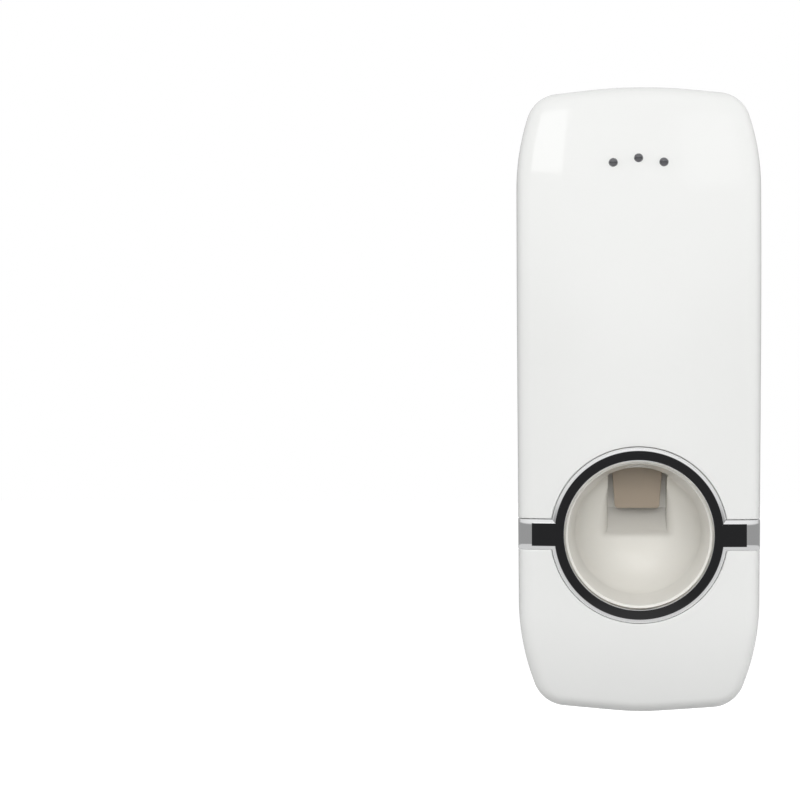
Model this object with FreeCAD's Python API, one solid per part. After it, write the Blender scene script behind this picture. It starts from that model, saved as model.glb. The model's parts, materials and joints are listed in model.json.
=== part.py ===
import FreeCAD, Part
import functools
import math
import os

# A wall-hung toothpaste dispenser. A rear housing hangs on a keyhole wall plate, an upper
# cover lifts off the tube bay, and a brush pushed into the round port swings a lever that
# works a small piston pump.
# Millimetres. The wall is the plane y = 0, the front faces -Y and +Z is up. The origin is
# the middle of the wall plate's adhesive face. A rise is a height above the casing's foot.

# Casing
BODY_WIDTH = 72.6
BODY_HEIGHT = 186.0
BODY_DEPTH = 58.0
SHELL_WALL = 2.2
WALL_GAP = 1.3
PARTING_DEPTH = 24.0
FOOT_CORNER_RADIUS = 10.0
HIP_RADIUS = 72.0
SHOULDER_RADIUS = 73.0
TOP_CORNER_RADIUS = 10.0
FOOT_CROWN_RADIUS = 90.0
TOP_CROWN_RADIUS = 150.0
FRONT_EDGE_RADIUS = 5.0
BACK_EDGE_RADIUS = 1.2
FRONT_PLAN_RADIUS = 250.0
BROW_RADIUS = 300.0
BROW_RISE = 105.0
CHIN_RADIUS = 110.0
CHIN_RISE = 36.0
# Foot corner, hip, shoulder and top corner, as shares of half the width and of the height
OUTLINE_SHARES = ((0.788, 0.0102), (0.972, 0.113), (1.0, 0.895), (0.857, 0.9876))
OUTLINE_RADII = (FOOT_CORNER_RADIUS, HIP_RADIUS, SHOULDER_RADIUS, TOP_CORNER_RADIUS)
LEAST_EDGE_SHARE = 0.25
ROUNDING_LIMIT_SHARE = 0.98
MID_WALL_SHARE = 0.5

# Clearances and the overrun of cuts
RUN_GAP = 0.3
PIN_GAP = 0.08
SCREW_GAP = 0.2
PILOT_GAP = 0.05
CONTACT_GAP = 0.1
CUT = 2.0

# Wall plate with two headed studs, and its adhesive pad
PLATE_SETBACK = 58.0
PLATE_WIDTH = 46.0
PLATE_HEIGHT = 36.0
PLATE_THICKNESS = 2.2
PLATE_CORNER_RADIUS = 5.0
PAD_THICKNESS = 1.0
PAD_MARGIN = 2.5
STUD_SPACING = 26.0
STUD_NECK_RADIUS = 3.0
STUD_HEAD_RADIUS = 5.0
STUD_HEAD_THICKNESS = 1.8
UNHOOK_TRAVEL = 10.0

# Brush port, its trim ring and the band across the front
PORT_RISE = 52.8
PORT_RADIUS = 20.8
RIM_WIDTH = 0.6
INNER_BEVEL = 0.6
INLAY_WIDTH = 2.7
OUTER_BEVEL = 1.1
BAND_INLAY_HEIGHT = 6.7
BAND_END_SETBACK = 4.9
TRIM_PROUD = 0.8
TRIM_SEAT = 3.0
INLAY_THICKNESS = 0.5

# Three bright studs on the upper cover, the outer two a little lower
TRIM_STUD_RADIUS = 1.4
TRIM_STUD_SINK = 0.3
TRIM_STUD_SPACING = 7.45
TRIM_STUD_SETBACK = 22.1
TRIM_STUD_DROP = 1.3

# Port liner: a bowl with a flange and a channel behind for the lever
LINER_WALL = 1.2
BOWL_DEPTH = 27.5
BOWL_TAPER = 1.8
BOWL_CORNER_RADIUS = 12.0
FLANGE_THICKNESS = 1.5
FLANGE_INSET = 1.2
CHANNEL_SIDE_GAP = 0.6
CHANNEL_BACK_GAP = 0.8
CHANNEL_FOOT_DROP = 0.4
CHANNEL_TOP_DROP = 0.3
CHANNEL_WALL_REACH = 6.0
SLOT_REACH = 13.0

# Push lever and its pin
SWING_DEGREES = 16.0
PIVOT_CLEARANCE = 5.2
PIVOT_SETBACK = 8.0
PADDLE_STANDOFF = 1.5
PADDLE_THICKNESS = 3.0
PADDLE_TIP_LIFT = 6.6
PADDLE_TIP_WIDTH = 13.4
PADDLE_ROOT_WIDTH = 16.7
PADDLE_CORNER_RADIUS = 0.8
HUB_RADIUS = 4.0
PIN_RADIUS = 1.5
PIN_END = 0.6
ARM_LENGTH = 10.0
ARM_WIDTH = 8.0
NOSE_RADIUS = 2.0

# Piston pump
BORE_RADIUS = 6.0
PUMP_WALL = 1.8
PISTON_GAP = 0.15
TAIL_RADIUS = 4.5
TAIL_THICKNESS = 1.5
ROD_RADIUS = 2.5
SPRING_SPACE = 6.4
SPRING_TURNS = 4
SPRING_RADIUS = 3.4
SPRING_WIRE_RADIUS = 0.35
CAP_THICKNESS = 2.0
CAP_SPIGOT = 2.0
CAP_SPIGOT_WALL = 1.6
CROWN_SETBACK = 3.0
CROWN_LENGTH = 6.0
SEAL_RADIUS = 0.8
SEAL_GAP = 0.1
GROOVE_GAP = 0.05
VALVE_RADIUS = 2.0
VALVE_MARGIN = 0.7
DUCT_RADIUS = 2.2
PLUG_LENGTH = 1.6
PLUG_HEAD_RADIUS = 3.2
PLUG_HEAD_THICKNESS = 0.8

# Tube socket and the pump's ears under the shelf
SOCKET_BORE_RADIUS = 5.5
SOCKET_WALL = 2.1
SOCKET_HEIGHT = 12.0
SOCKET_FLOOR = 1.5
SOCKET_FLANGE_RADIUS = 9.0
SOCKET_FLANGE_THICKNESS = 2.0
SOCKET_MOUTH_RADIUS = 7.0
SOCKET_LEAD_IN = 2.0
INLET_RADIUS = 3.0
INLET_DISC_RADIUS = 4.0
INLET_DISC_THICKNESS = 1.0
INLET_SLIT = 0.3
EAR_REACH = 14.0
EAR_HALF = 3.5
EAR_THICKNESS = 4.0

# Outlet nozzle and its domed slit valve
NOZZLE_RADIUS = 3.5
NOZZLE_BORE_RADIUS = 2.2
NOZZLE_FLANGE_RADIUS = 5.5
NOZZLE_FLANGE_THICKNESS = 1.5
NOZZLE_TIP_INSET = 0.5
NOZZLE_HOLE_GAP = 0.4
OUTLET_BOSS = 1.2
DOME_WALL = 0.6
DOME_SLIT = 0.25

# Inner frame
FRAME_THICKNESS = 2.0
FRAME_LEAD = 1.0
FRAME_FOOT_RISE = 16.0
FRAME_SIDE_GAP = 0.5
COLLAR_GAP = 0.4
COLLAR_WALL = 2.0
LUG_THICKNESS = 2.5
LUG_MARGIN = 1.2
SHELF_THICKNESS = 2.0
SHELF_FRONT_GAP = 2.6
CHEEK_THICKNESS = 1.5
CHEEK_DROP = 22.0
CHEEK_REACH = 20.0

# Sliding rails of the upper cover
RAIL_SETBACK = 7.3
RAIL_WEB = 1.2
RAIL_FLANGE_THICKNESS = 2.0
RAIL_DEPTH = 6.0
RAIL_HOOK_REACH = 2.0
RAIL_HOOK_THICKNESS = 1.8
RAIL_FOOT_RISE = 66.0
RAIL_TOP_SETBACK = 28.0
COVER_RIB_THICKNESS = 2.0

# Screws
SCREW_RADIUS = 1.4
SCREW_HEAD_RADIUS = 2.8
SCREW_HEAD_HEIGHT = 1.8
SCREW_CROSS_WIDTH = 0.9
SCREW_CROSS_DEPTH = 1.0
BOSS_RADIUS = 3.5
FRAME_SCREW_INSET = 6.5
FRAME_SCREW_RISES = (22.0, 97.0)
FRAME_SCREW_GRIP_SHARE = 0.43
COVER_SCREW_INSET = 14.3
COVER_SCREW_RISE = 10.0
COVER_SCREW_LENGTH = 16.0
COVER_SCREW_SEAT = 7.0
COVER_TUBE_WALL = 1.2
PILOT_MARGIN = 1.0

FULL_TURN = 360.0
QUARTER_TURNS = 4
CROWN_STEPS = 6
SEAM_SHARE = 0.9

# Planes and axes worked out from the sizes above
HALF_WIDTH = BODY_WIDTH / 2
FOOT_Z = PLATE_SETBACK - BODY_HEIGHT
BACK_Y = -WALL_GAP
PANEL_Y = BACK_Y - SHELL_WALL
PARTING_Y = -PARTING_DEPTH
PLATE_FRONT_Y = -(PAD_THICKNESS + PLATE_THICKNESS)
RECESS_Y = PLATE_FRONT_Y - RUN_GAP
RECESS_INNER_Y = RECESS_Y - SHELL_WALL
STUD_HEAD_Y = RECESS_INNER_Y - RUN_GAP
STUD_END_Y = STUD_HEAD_Y - STUD_HEAD_THICKNESS
PORT_Z = FOOT_Z + PORT_RISE
TRIM_INNER = PORT_RADIUS + RIM_WIDTH
INLAY_INNER = TRIM_INNER + INNER_BEVEL
INLAY_OUTER = INLAY_INNER + INLAY_WIDTH
TRIM_OUTER = INLAY_OUTER + OUTER_BEVEL
BAND_HALF = BAND_INLAY_HEIGHT / 2 + OUTER_BEVEL
FRONT_Y = -BODY_DEPTH - TRIM_PROUD - CUT
SEAT_Y = TRIM_SEAT - BODY_DEPTH
FLANGE_Y = SEAT_Y + FLANGE_THICKNESS
BOWL_BACK_Y = SEAT_Y + BOWL_DEPTH
SWING = math.radians(SWING_DEGREES)
PADDLE_Y = BOWL_BACK_Y - PADDLE_STANDOFF
PADDLE_BACK_Y = PADDLE_Y + PADDLE_THICKNESS
PADDLE_TIP_Z = PORT_Z + PADDLE_TIP_LIFT
PIVOT_Y = PADDLE_Y + PIVOT_SETBACK
PIVOT_Z = PORT_Z + PORT_RADIUS + PIVOT_CLEARANCE
CHANNEL_HALF = PADDLE_ROOT_WIDTH / 2 + CHANNEL_SIDE_GAP
PADDLE_SWEPT_Y = (PIVOT_Y + (PADDLE_BACK_Y - PIVOT_Y) * math.cos(SWING)
                  + (PIVOT_Z - PADDLE_TIP_Z) * math.sin(SWING))
CHANNEL_BACK_Y = PADDLE_SWEPT_Y + CHANNEL_BACK_GAP
CHANNEL_FOOT_Z = PORT_Z - CHANNEL_FOOT_DROP
CHANNEL_TOP_Z = PORT_Z + PORT_RADIUS - CHANNEL_TOP_DROP
SLOT_Y = PADDLE_Y - SLOT_REACH
WORKS_HALF = CHANNEL_HALF + LINER_WALL + RUN_GAP
LUG_OUTER = WORKS_HALF + LUG_THICKNESS
COLLAR_INNER = PORT_RADIUS + LINER_WALL + COLLAR_GAP
COLLAR_OUTER = COLLAR_INNER + COLLAR_WALL
PUMP_Z = PIVOT_Z + ARM_LENGTH
BARREL_RADIUS = BORE_RADIUS + PUMP_WALL
STROKE = ARM_LENGTH * SWING
TAIL_Y = PIVOT_Y - NOSE_RADIUS - CONTACT_GAP
SPRING_BACK_Y = TAIL_Y - TAIL_THICKNESS
CAP_Y = SPRING_BACK_Y - SPRING_SPACE
BARREL_BACK_Y = CAP_Y - CAP_THICKNESS
CROWN_BACK_Y = BARREL_BACK_Y - CROWN_SETBACK
CROWN_FRONT_Y = CROWN_BACK_Y - CROWN_LENGTH
PISTON_RADIUS = BORE_RADIUS - PISTON_GAP
VALVE_Y = CROWN_FRONT_Y - STROKE - VALVE_RADIUS - VALVE_MARGIN
CHAMBER_FRONT_Y = VALVE_Y - VALVE_RADIUS - VALVE_MARGIN
BARREL_FRONT_Y = CHAMBER_FRONT_Y - PUMP_WALL
BOSS_Z = PUMP_Z + BARREL_RADIUS + RUN_GAP
DUCT_Z = BOSS_Z + DUCT_RADIUS
MANIFOLD_Z = DUCT_Z + DUCT_RADIUS + PUMP_WALL
MANIFOLD_HALF = DUCT_RADIUS + PUMP_WALL
SOCKET_Y = BARREL_BACK_Y
SOCKET_RADIUS = SOCKET_BORE_RADIUS + SOCKET_WALL
SOCKET_TOP_Z = MANIFOLD_Z + SOCKET_HEIGHT
SHELF_Z = MANIFOLD_Z + SOCKET_FLANGE_THICKNESS
SHELF_TOP_Z = SHELF_Z + SHELF_THICKNESS
OUTLET_Z = PUMP_Z - BARREL_RADIUS - OUTLET_BOSS
NOZZLE_TIP_Z = PORT_Z + PORT_RADIUS - NOZZLE_TIP_INSET
RAIL_X = HALF_WIDTH - RAIL_SETBACK
RAIL_OUTER = RAIL_X + RAIL_WEB
FRAME_HALF = RAIL_X - FRAME_SIDE_GAP
FRAME_Y = PIVOT_Y - FRAME_LEAD
FRAME_BACK_Y = FRAME_Y + FRAME_THICKNESS
FRAME_SCREW_X = FRAME_HALF - FRAME_SCREW_INSET
FRAME_SCREW_LENGTH = FRAME_THICKNESS + FRAME_SCREW_GRIP_SHARE * (PANEL_Y - FRAME_BACK_Y)
COVER_SCREW_X = HALF_WIDTH - COVER_SCREW_INSET
RAIL_ZS = (FOOT_Z + RAIL_FOOT_RISE, FOOT_Z + BODY_HEIGHT - RAIL_TOP_SETBACK)
COVER_SEAT_Y = PARTING_Y + COVER_SCREW_SEAT
PILOT_RADIUS = SCREW_RADIUS + PILOT_GAP
SCREW_HOLE_RADIUS = SCREW_RADIUS + SCREW_GAP
X_AXIS = FreeCAD.Vector(1, 0, 0)
Y_AXIS = FreeCAD.Vector(0, 1, 0)
Z_AXIS = FreeCAD.Vector(0, 0, 1)


def point(x, y, z):
    return FreeCAD.Vector(x, y, z)


def block(xs, ys, zs):
    """Box between two values along each axis."""
    low = point(min(xs), min(ys), min(zs))
    return Part.makeBox(max(xs) - low.x, max(ys) - low.y, max(zs) - low.z, low)


def rod(radius, start, end):
    """Round rod from one point to another."""
    way = end - start
    return Part.makeCylinder(radius, way.Length, start, way)


def port_rod(radius, start_y, end_y):
    """Round rod on the axis of the brush port."""
    return rod(radius, point(0, start_y, PORT_Z), point(0, end_y, PORT_Z))


def pump_rod(radius, start_y, end_y):
    """Round rod on the axis of the pump."""
    return rod(radius, point(0, start_y, PUMP_Z), point(0, end_y, PUMP_Z))


def upright(radius, y, low_z, high_z, x=0):
    """Round rod standing along Z."""
    return rod(radius, point(x, y, low_z), point(x, y, high_z))


def fused(first, *others):
    return first.multiFuse(list(others)).removeSplitter()


def both_sides(shape):
    """A shape on the right and its mirror image on the left."""
    return [shape, shape.mirror(point(0, 0, 0), X_AXIS)]


def line(start, end):
    return Part.LineSegment(start, end).toShape()


def rounded_wire(corners, place):
    """Closed wire of lines and tangent arcs.

    Each corner is (u, v, radius) and place turns u and v into a point. Where two roundings
    would meet on a side, both are limited by that side.
    """
    spots = [place(u, v) for u, v, _ in corners]
    sides = [there - here for here, there in zip(spots, spots[1:] + spots[:1])]
    spans = [side.Length for side in sides]
    ways = [side * (1 / span) for side, span in zip(sides, spans)]
    turns = [ways[i - 1].getAngle(ways[i]) for i in range(len(spots))]
    reaches = [corner[2] * math.tan(turn / 2) for corner, turn in zip(corners, turns)]
    limits = []
    for i, span in enumerate(spans):
        wanted = reaches[i] + reaches[(i + 1) % len(spots)]
        limits.append(min(1, ROUNDING_LIMIT_SHARE * span / wanted) if wanted else 1)
    edges = []
    starts, ends = [], []
    for i, spot in enumerate(spots):
        reach = reaches[i] * min(limits[i - 1], limits[i])
        starts.append(spot - ways[i - 1] * reach)
        ends.append(spot + ways[i] * reach)
        if reach:
            radius = reach / math.tan(turns[i] / 2)
            inward = (ways[i] - ways[i - 1]).normalize()
            middle = spot + inward * (radius / math.cos(turns[i] / 2) - radius)
            edges.append(Part.Arc(starts[i], middle, ends[i]).toShape())
    for i, end in enumerate(ends):
        edges.append(line(end, starts[(i + 1) % len(spots)]))
    return Part.Wire(Part.__sortEdges__(edges))


def inset_corners(corners, distance):
    """Corners of a convex outline, counter-clockwise, moved inwards by a distance."""
    lines = []
    for (x, z, _), (next_x, next_z, _) in zip(corners, corners[1:] + corners[:1]):
        span = math.hypot(next_x - x, next_z - z)
        run, climb = (next_x - x) / span, (next_z - z) / span
        lines.append((x - climb * distance, z + run * distance, run, climb))
    moved = []
    for i, (_, _, radius) in enumerate(corners):
        ax, az, a_run, a_climb = lines[i - 1]
        bx, bz, b_run, b_climb = lines[i]
        along = ((bx - ax) * b_climb - (bz - az) * b_run) / (a_run * b_climb - a_climb * b_run)
        moved.append((ax + a_run * along, az + a_climb * along, radius - distance))
    return moved


def crown_lift(run, drop, radius):
    """How far a crown's corner stands above its rounded top."""
    lift = 0
    for _ in range(CROWN_STEPS):
        lift = radius * (math.hypot(1, (drop + lift) / run) - 1)
    return lift


def casing_outline(inset, y):
    """The casing's front outline as a wire in the plane y, moved inwards by inset."""
    right = [(share_x * HALF_WIDTH, FOOT_Z + share_z * BODY_HEIGHT, radius)
             for (share_x, share_z), radius in zip(OUTLINE_SHARES, OUTLINE_RADII)]
    left = [(-x, z, radius) for x, z, radius in reversed(right)]
    foot_x, foot_z, _ = right[0]
    top_x, top_z, _ = right[-1]
    foot_lift = crown_lift(foot_x, foot_z - FOOT_Z, FOOT_CROWN_RADIUS)
    top_lift = crown_lift(top_x, FOOT_Z + BODY_HEIGHT - top_z, TOP_CROWN_RADIUS)
    foot = (0, FOOT_Z - foot_lift, FOOT_CROWN_RADIUS)
    top = (0, FOOT_Z + BODY_HEIGHT + top_lift, TOP_CROWN_RADIUS)
    corners = inset_corners([foot] + right + [top] + left, inset)
    return rounded_wire(corners, lambda x, z: point(x, y, z))


def front_limit(offset):
    """Solid behind the casing's front: the side profile, set back by offset, swept in plan."""
    brow, chin = BROW_RADIUS - offset, CHIN_RADIUS - offset
    brow_turn = math.asin((BODY_HEIGHT + CUT - BROW_RISE) / brow)
    chin_turn = math.asin((CHIN_RISE + CUT) / chin)

    def brow_point(turn):
        return point(0, BROW_RADIUS - BODY_DEPTH - brow * math.cos(turn),
                     FOOT_Z + BROW_RISE + brow * math.sin(turn))

    def chin_point(turn):
        return point(0, CHIN_RADIUS - BODY_DEPTH - chin * math.cos(turn),
                     FOOT_Z + CHIN_RISE - chin * math.sin(turn))

    top, foot = brow_point(brow_turn), chin_point(chin_turn)
    rear_top, rear_foot = point(0, CUT, top.z), point(0, CUT, foot.z)
    profile = Part.Wire([
        Part.Arc(top, brow_point(brow_turn / 2), brow_point(0)).toShape(),
        line(brow_point(0), chin_point(0)),
        Part.Arc(chin_point(0), chin_point(chin_turn / 2), foot).toShape(),
        line(foot, rear_foot), line(rear_foot, rear_top), line(rear_top, top)])
    axis = point(0, FRONT_PLAN_RADIUS - BODY_DEPTH, 0)
    half_sweep = math.degrees(math.asin((HALF_WIDTH + CUT) / (axis.y - CUT)))
    face = Part.Face(profile)
    face.rotate(axis, Z_AXIS, -half_sweep)
    return face.revolve(axis, Z_AXIS, 2 * half_sweep)


def is_front_rim(edge):
    """True for the edges between the casing's sides and its front."""
    start, end = edge.discretize(2)
    way = end - start
    on_back = max(abs(start.y - BACK_Y), abs(end.y - BACK_Y)) < CONTACT_GAP
    return not on_back and abs(way.y) < SEAM_SHARE * way.Length


@functools.lru_cache(maxsize=None)
def casing_form(inset, proud=0.0):
    """The casing as one solid, moved inwards by inset, its front then moved out by proud."""
    outline = Part.Face(casing_outline(inset, BACK_Y))
    prism = outline.extrude(point(0, -BODY_DEPTH - CUT, 0))
    form = prism.common(front_limit(inset - proud)).Solids[0]
    rims = [edge for edge in form.Edges if is_front_rim(edge)]
    radius = max(FRONT_EDGE_RADIUS - inset, LEAST_EDGE_SHARE * SHELL_WALL)
    return form.makeFillet(radius, rims)


def mid_wall():
    """The casing up to the middle of its wall, which limits ribs and bosses."""
    return casing_form(MID_WALL_SHARE * SHELL_WALL)


def screw(seat, way, length):
    """Pan head screw: seat is under the head and way points along the shank."""
    head_end = seat - way * SCREW_HEAD_HEIGHT
    body = fused(rod(SCREW_RADIUS, seat, seat + way * length), rod(SCREW_HEAD_RADIUS, head_end, seat))
    floor = head_end + way * SCREW_CROSS_DEPTH
    bar = Part.makeBox(SCREW_HEAD_RADIUS, SCREW_CROSS_WIDTH, SCREW_CROSS_DEPTH)
    bar.translate(point(-SCREW_HEAD_RADIUS / 2, -SCREW_CROSS_WIDTH / 2, 0))
    bars = [bar, bar.rotated(point(0, 0, 0), Z_AXIS, FULL_TURN / QUARTER_TURNS)]
    turn = FreeCAD.Rotation(Z_AXIS, way * -1)
    for cutter in bars:
        cutter.Placement = FreeCAD.Placement(floor, turn).multiply(cutter.Placement)
        body = body.cut(cutter)
    return body


def frame_screw_spots(y):
    """Places of the four screws that hold the inner frame."""
    return [point(side * FRAME_SCREW_X, y, FOOT_Z + rise)
            for rise in FRAME_SCREW_RISES for side in (-1, 1)]


def cover_screw_spots(y):
    """Places of the two screws that hold the lower cover."""
    return [point(side * COVER_SCREW_X, y, FOOT_Z + COVER_SCREW_RISE) for side in (-1, 1)]


def pump_screw_spots(z):
    """Places of the two screws that hang the pump from the shelf."""
    return [point(side * EAR_REACH, SOCKET_Y, z) for side in (-1, 1)]


def rounded_plate(width, height, radius, ys):
    """Plate with rounded corners, standing against the wall about the origin."""
    x, z = width / 2, height / 2
    corners = [(-x, -z, radius), (x, -z, radius), (x, z, radius), (-x, z, radius)]
    face = Part.Face(rounded_wire(corners, lambda u, v: point(u, max(ys), v)))
    return face.extrude(point(0, min(ys) - max(ys), 0))


def adhesive_pad():
    margin = 2 * PAD_MARGIN
    return rounded_plate(PLATE_WIDTH - margin, PLATE_HEIGHT - margin,
                         PLATE_CORNER_RADIUS - MID_WALL_SHARE * PAD_MARGIN, (-PAD_THICKNESS, 0))


def wall_plate():
    plate_ys = (PLATE_FRONT_Y, -PAD_THICKNESS)
    plate = rounded_plate(PLATE_WIDTH, PLATE_HEIGHT, PLATE_CORNER_RADIUS, plate_ys)
    studs = []
    for side in (-1, 1):
        x = side * STUD_SPACING / 2
        studs.append(rod(STUD_NECK_RADIUS, point(x, -PAD_THICKNESS, 0), point(x, STUD_END_Y, 0)))
        studs.append(rod(STUD_HEAD_RADIUS, point(x, STUD_HEAD_Y, 0), point(x, STUD_END_Y, 0)))
    return fused(plate, *studs)


def keyhole(x):
    """Cut for one stud: a slot above a hole that the stud's head passes."""
    ys = (BACK_Y + CUT, RECESS_INNER_Y - CUT)
    slot_radius = STUD_NECK_RADIUS + RUN_GAP
    entry_radius = STUD_HEAD_RADIUS + RUN_GAP
    slot = block((x - slot_radius, x + slot_radius), ys, (-UNHOOK_TRAVEL, 0))
    end = rod(slot_radius, point(x, ys[0], 0), point(x, ys[1], 0))
    entry = rod(entry_radius, point(x, ys[0], -UNHOOK_TRAVEL), point(x, ys[1], -UNHOOK_TRAVEL))
    return fused(slot, end, entry)


def rail():
    """Right-hand rail: a flange from the side wall, a web forwards and a hook outwards."""
    flange_ys = (PARTING_Y, PARTING_Y + RAIL_FLANGE_THICKNESS)
    flange = block((RAIL_X, HALF_WIDTH), flange_ys, RAIL_ZS)
    flange = flange.common(mid_wall())
    front_y = PARTING_Y - RAIL_DEPTH
    web = block((RAIL_X, RAIL_OUTER), (PARTING_Y, front_y), RAIL_ZS)
    hook_ys = (front_y, front_y + RAIL_HOOK_THICKNESS)
    hook = block((RAIL_X, RAIL_OUTER + RAIL_HOOK_REACH), hook_ys, RAIL_ZS)
    return fused(flange, web, hook)


def rear_housing():
    outer = Part.Face(casing_outline(0, BACK_Y)).extrude(point(0, PARTING_Y - BACK_Y, 0))
    rims = [edge for edge in outer.Edges if abs(edge.BoundBox.YMax - edge.BoundBox.YMin) < CONTACT_GAP
            and abs(edge.CenterOfMass.y - BACK_Y) < CONTACT_GAP]
    outer = outer.makeFillet(BACK_EDGE_RADIUS, rims)
    hollow = Part.Face(casing_outline(SHELL_WALL, PANEL_Y))
    hollow = hollow.extrude(point(0, PARTING_Y - PANEL_Y - CUT, 0))
    shell = outer.cut(hollow)
    recess_x = PLATE_WIDTH / 2 + RUN_GAP
    recess_top = PLATE_HEIGHT / 2 + RUN_GAP
    recess_foot = -PLATE_HEIGHT / 2 - UNHOOK_TRAVEL - RUN_GAP
    pad_x = recess_x + SHELL_WALL
    pad_zs = (recess_foot - SHELL_WALL, recess_top + SHELL_WALL)
    pad = block((-pad_x, pad_x), (BACK_Y, RECESS_INNER_Y), pad_zs)
    bosses = [rod(BOSS_RADIUS, point(spot.x, PANEL_Y, spot.z), spot)
              for spot in frame_screw_spots(FRAME_BACK_Y)]
    tube_radius = SCREW_HEAD_RADIUS + RUN_GAP + COVER_TUBE_WALL
    tubes = [rod(tube_radius, point(spot.x, PANEL_Y, spot.z), spot)
             for spot in cover_screw_spots(PARTING_Y)]
    housing = fused(shell, pad, *bosses, *tubes, *both_sides(rail()))
    recess = block((-recess_x, recess_x), (BACK_Y + CUT, RECESS_Y), (recess_foot, recess_top))
    cutters = [recess, keyhole(-STUD_SPACING / 2), keyhole(STUD_SPACING / 2)]
    for spot in frame_screw_spots(FRAME_BACK_Y):
        cutters.append(rod(PILOT_RADIUS, spot, point(spot.x, PANEL_Y - PILOT_MARGIN, spot.z)))
    for spot in cover_screw_spots(PARTING_Y):
        seat = point(spot.x, COVER_SEAT_Y, spot.z)
        cutters.append(rod(SCREW_HEAD_RADIUS + RUN_GAP, point(spot.x, BACK_Y + CUT, spot.z), seat))
        cutters.append(rod(SCREW_HOLE_RADIUS, seat, point(spot.x, PARTING_Y - CUT, spot.z)))
    return housing.cut(cutters)


def cover_shell(zs, rear_y):
    """Part of the casing's front shell between two heights, open round the trim ring."""
    shell = casing_form(0).cut(casing_form(SHELL_WALL))
    zone = block((-BODY_WIDTH, BODY_WIDTH), (rear_y, FRONT_Y), zs)
    return shell.common(zone).cut(port_rod(TRIM_OUTER + RUN_GAP, PARTING_Y, FRONT_Y))


def stud_ball(side, gap):
    """Ball of one trim stud, sunk in the cover's front, larger by gap."""
    x = side * TRIM_STUD_SPACING
    z = FOOT_Z + BODY_HEIGHT - TRIM_STUD_SETBACK - abs(side) * TRIM_STUD_DROP
    brow_drop = BROW_RADIUS - math.sqrt(BROW_RADIUS ** 2 - (z - FOOT_Z - BROW_RISE) ** 2)
    plan_radius = FRONT_PLAN_RADIUS - brow_drop
    front_y = FRONT_PLAN_RADIUS - BODY_DEPTH - math.sqrt(plan_radius ** 2 - x ** 2)
    return Part.makeSphere(TRIM_STUD_RADIUS + gap, point(x, front_y + TRIM_STUD_SINK, z), Y_AXIS)


def trim_studs():
    """Row of three small bright domes near the top of the upper cover."""
    return Part.makeCompound([stud_ball(side, 0) for side in (-1, 0, 1)])


def upper_cover():
    rear_y = PARTING_Y - RUN_GAP
    shell = cover_shell((PORT_Z + BAND_HALF + RUN_GAP, FOOT_Z + BODY_HEIGHT + CUT), rear_y)
    rib_front_y = PARTING_Y - RAIL_DEPTH + RAIL_HOOK_THICKNESS + RUN_GAP
    rib_ys = (rib_front_y, rib_front_y + COVER_RIB_THICKNESS)
    rib = block((RAIL_OUTER + RUN_GAP, HALF_WIDTH), rib_ys, RAIL_ZS)
    cover = fused(shell, *both_sides(rib.common(mid_wall())))
    return cover.cut([stud_ball(side, PILOT_GAP) for side in (-1, 0, 1)])


def lower_cover():
    shell = cover_shell((FOOT_Z - CUT, PORT_Z - BAND_HALF), PARTING_Y)
    bosses, pilots = [], []
    for spot in cover_screw_spots(PARTING_Y):
        bosses.append(rod(BOSS_RADIUS, spot, point(spot.x, FRONT_Y, spot.z)).common(mid_wall()))
        start = point(spot.x, PARTING_Y + CUT, spot.z)
        end = point(spot.x, COVER_SEAT_Y - COVER_SCREW_LENGTH - PILOT_MARGIN, spot.z)
        pilots.append(rod(PILOT_RADIUS, start, end))
    return fused(shell, *bosses).cut(pilots)


@functools.lru_cache(maxsize=None)
def trim_inlay():
    """Gloss inlay: a thin skin of the trim's front on the ring and along the band."""
    skin = casing_form(0, TRIM_PROUD).cut(casing_form(0, TRIM_PROUD - INLAY_THICKNESS))
    end_x = HALF_WIDTH - BAND_END_SETBACK
    band_z = BAND_INLAY_HEIGHT / 2
    band = block((-end_x, end_x), (SEAT_Y, FRONT_Y), (PORT_Z - band_z, PORT_Z + band_z))
    zone = fused(port_rod(INLAY_OUTER, SEAT_Y, FRONT_Y), band)
    zone = zone.cut(port_rod(INLAY_INNER, PARTING_Y, FRONT_Y))
    return skin.common(zone).Solids[0]


def trim_bezel():
    """Bright ring round the port with two arms that wrap round the casing's sides."""
    form = casing_form(0, TRIM_PROUD)
    ring = form.common(port_rod(TRIM_OUTER, SEAT_Y, FRONT_Y))
    band_zs = (PORT_Z - BAND_HALF, PORT_Z + BAND_HALF)
    zone = block((-BODY_WIDTH, BODY_WIDTH), (PARTING_Y, FRONT_Y), band_zs)
    arms = form.cut(casing_form(SHELL_WALL)).common(zone)
    arms = arms.cut(port_rod(INLAY_OUTER, PARTING_Y, FRONT_Y))
    bezel = fused(ring, *arms.Solids).cut(port_rod(TRIM_INNER, PARTING_Y, FRONT_Y))
    return bezel.cut(trim_inlay())


def port_turned(corners):
    """Solid turned about the port's axis from (radius, y, rounding) corners."""
    face = Part.Face(rounded_wire(corners, lambda radius, y: point(radius, y, PORT_Z)))
    return face.revolve(point(0, 0, PORT_Z), Y_AXIS, FULL_TURN)


def bowl_form(wall, front_y):
    """Inside of the bowl for a wall of zero, and its outside for the liner's wall."""
    back_y = BOWL_BACK_Y + wall
    slope = BOWL_TAPER / BOWL_DEPTH
    front_radius = PORT_RADIUS + wall + slope * (SEAT_Y - front_y)
    back_radius = front_radius - slope * (back_y - front_y)
    corners = [(0, front_y, 0), (front_radius, front_y, 0),
               (back_radius, back_y, BOWL_CORNER_RADIUS + wall), (0, back_y, 0)]
    return port_turned(corners)


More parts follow.
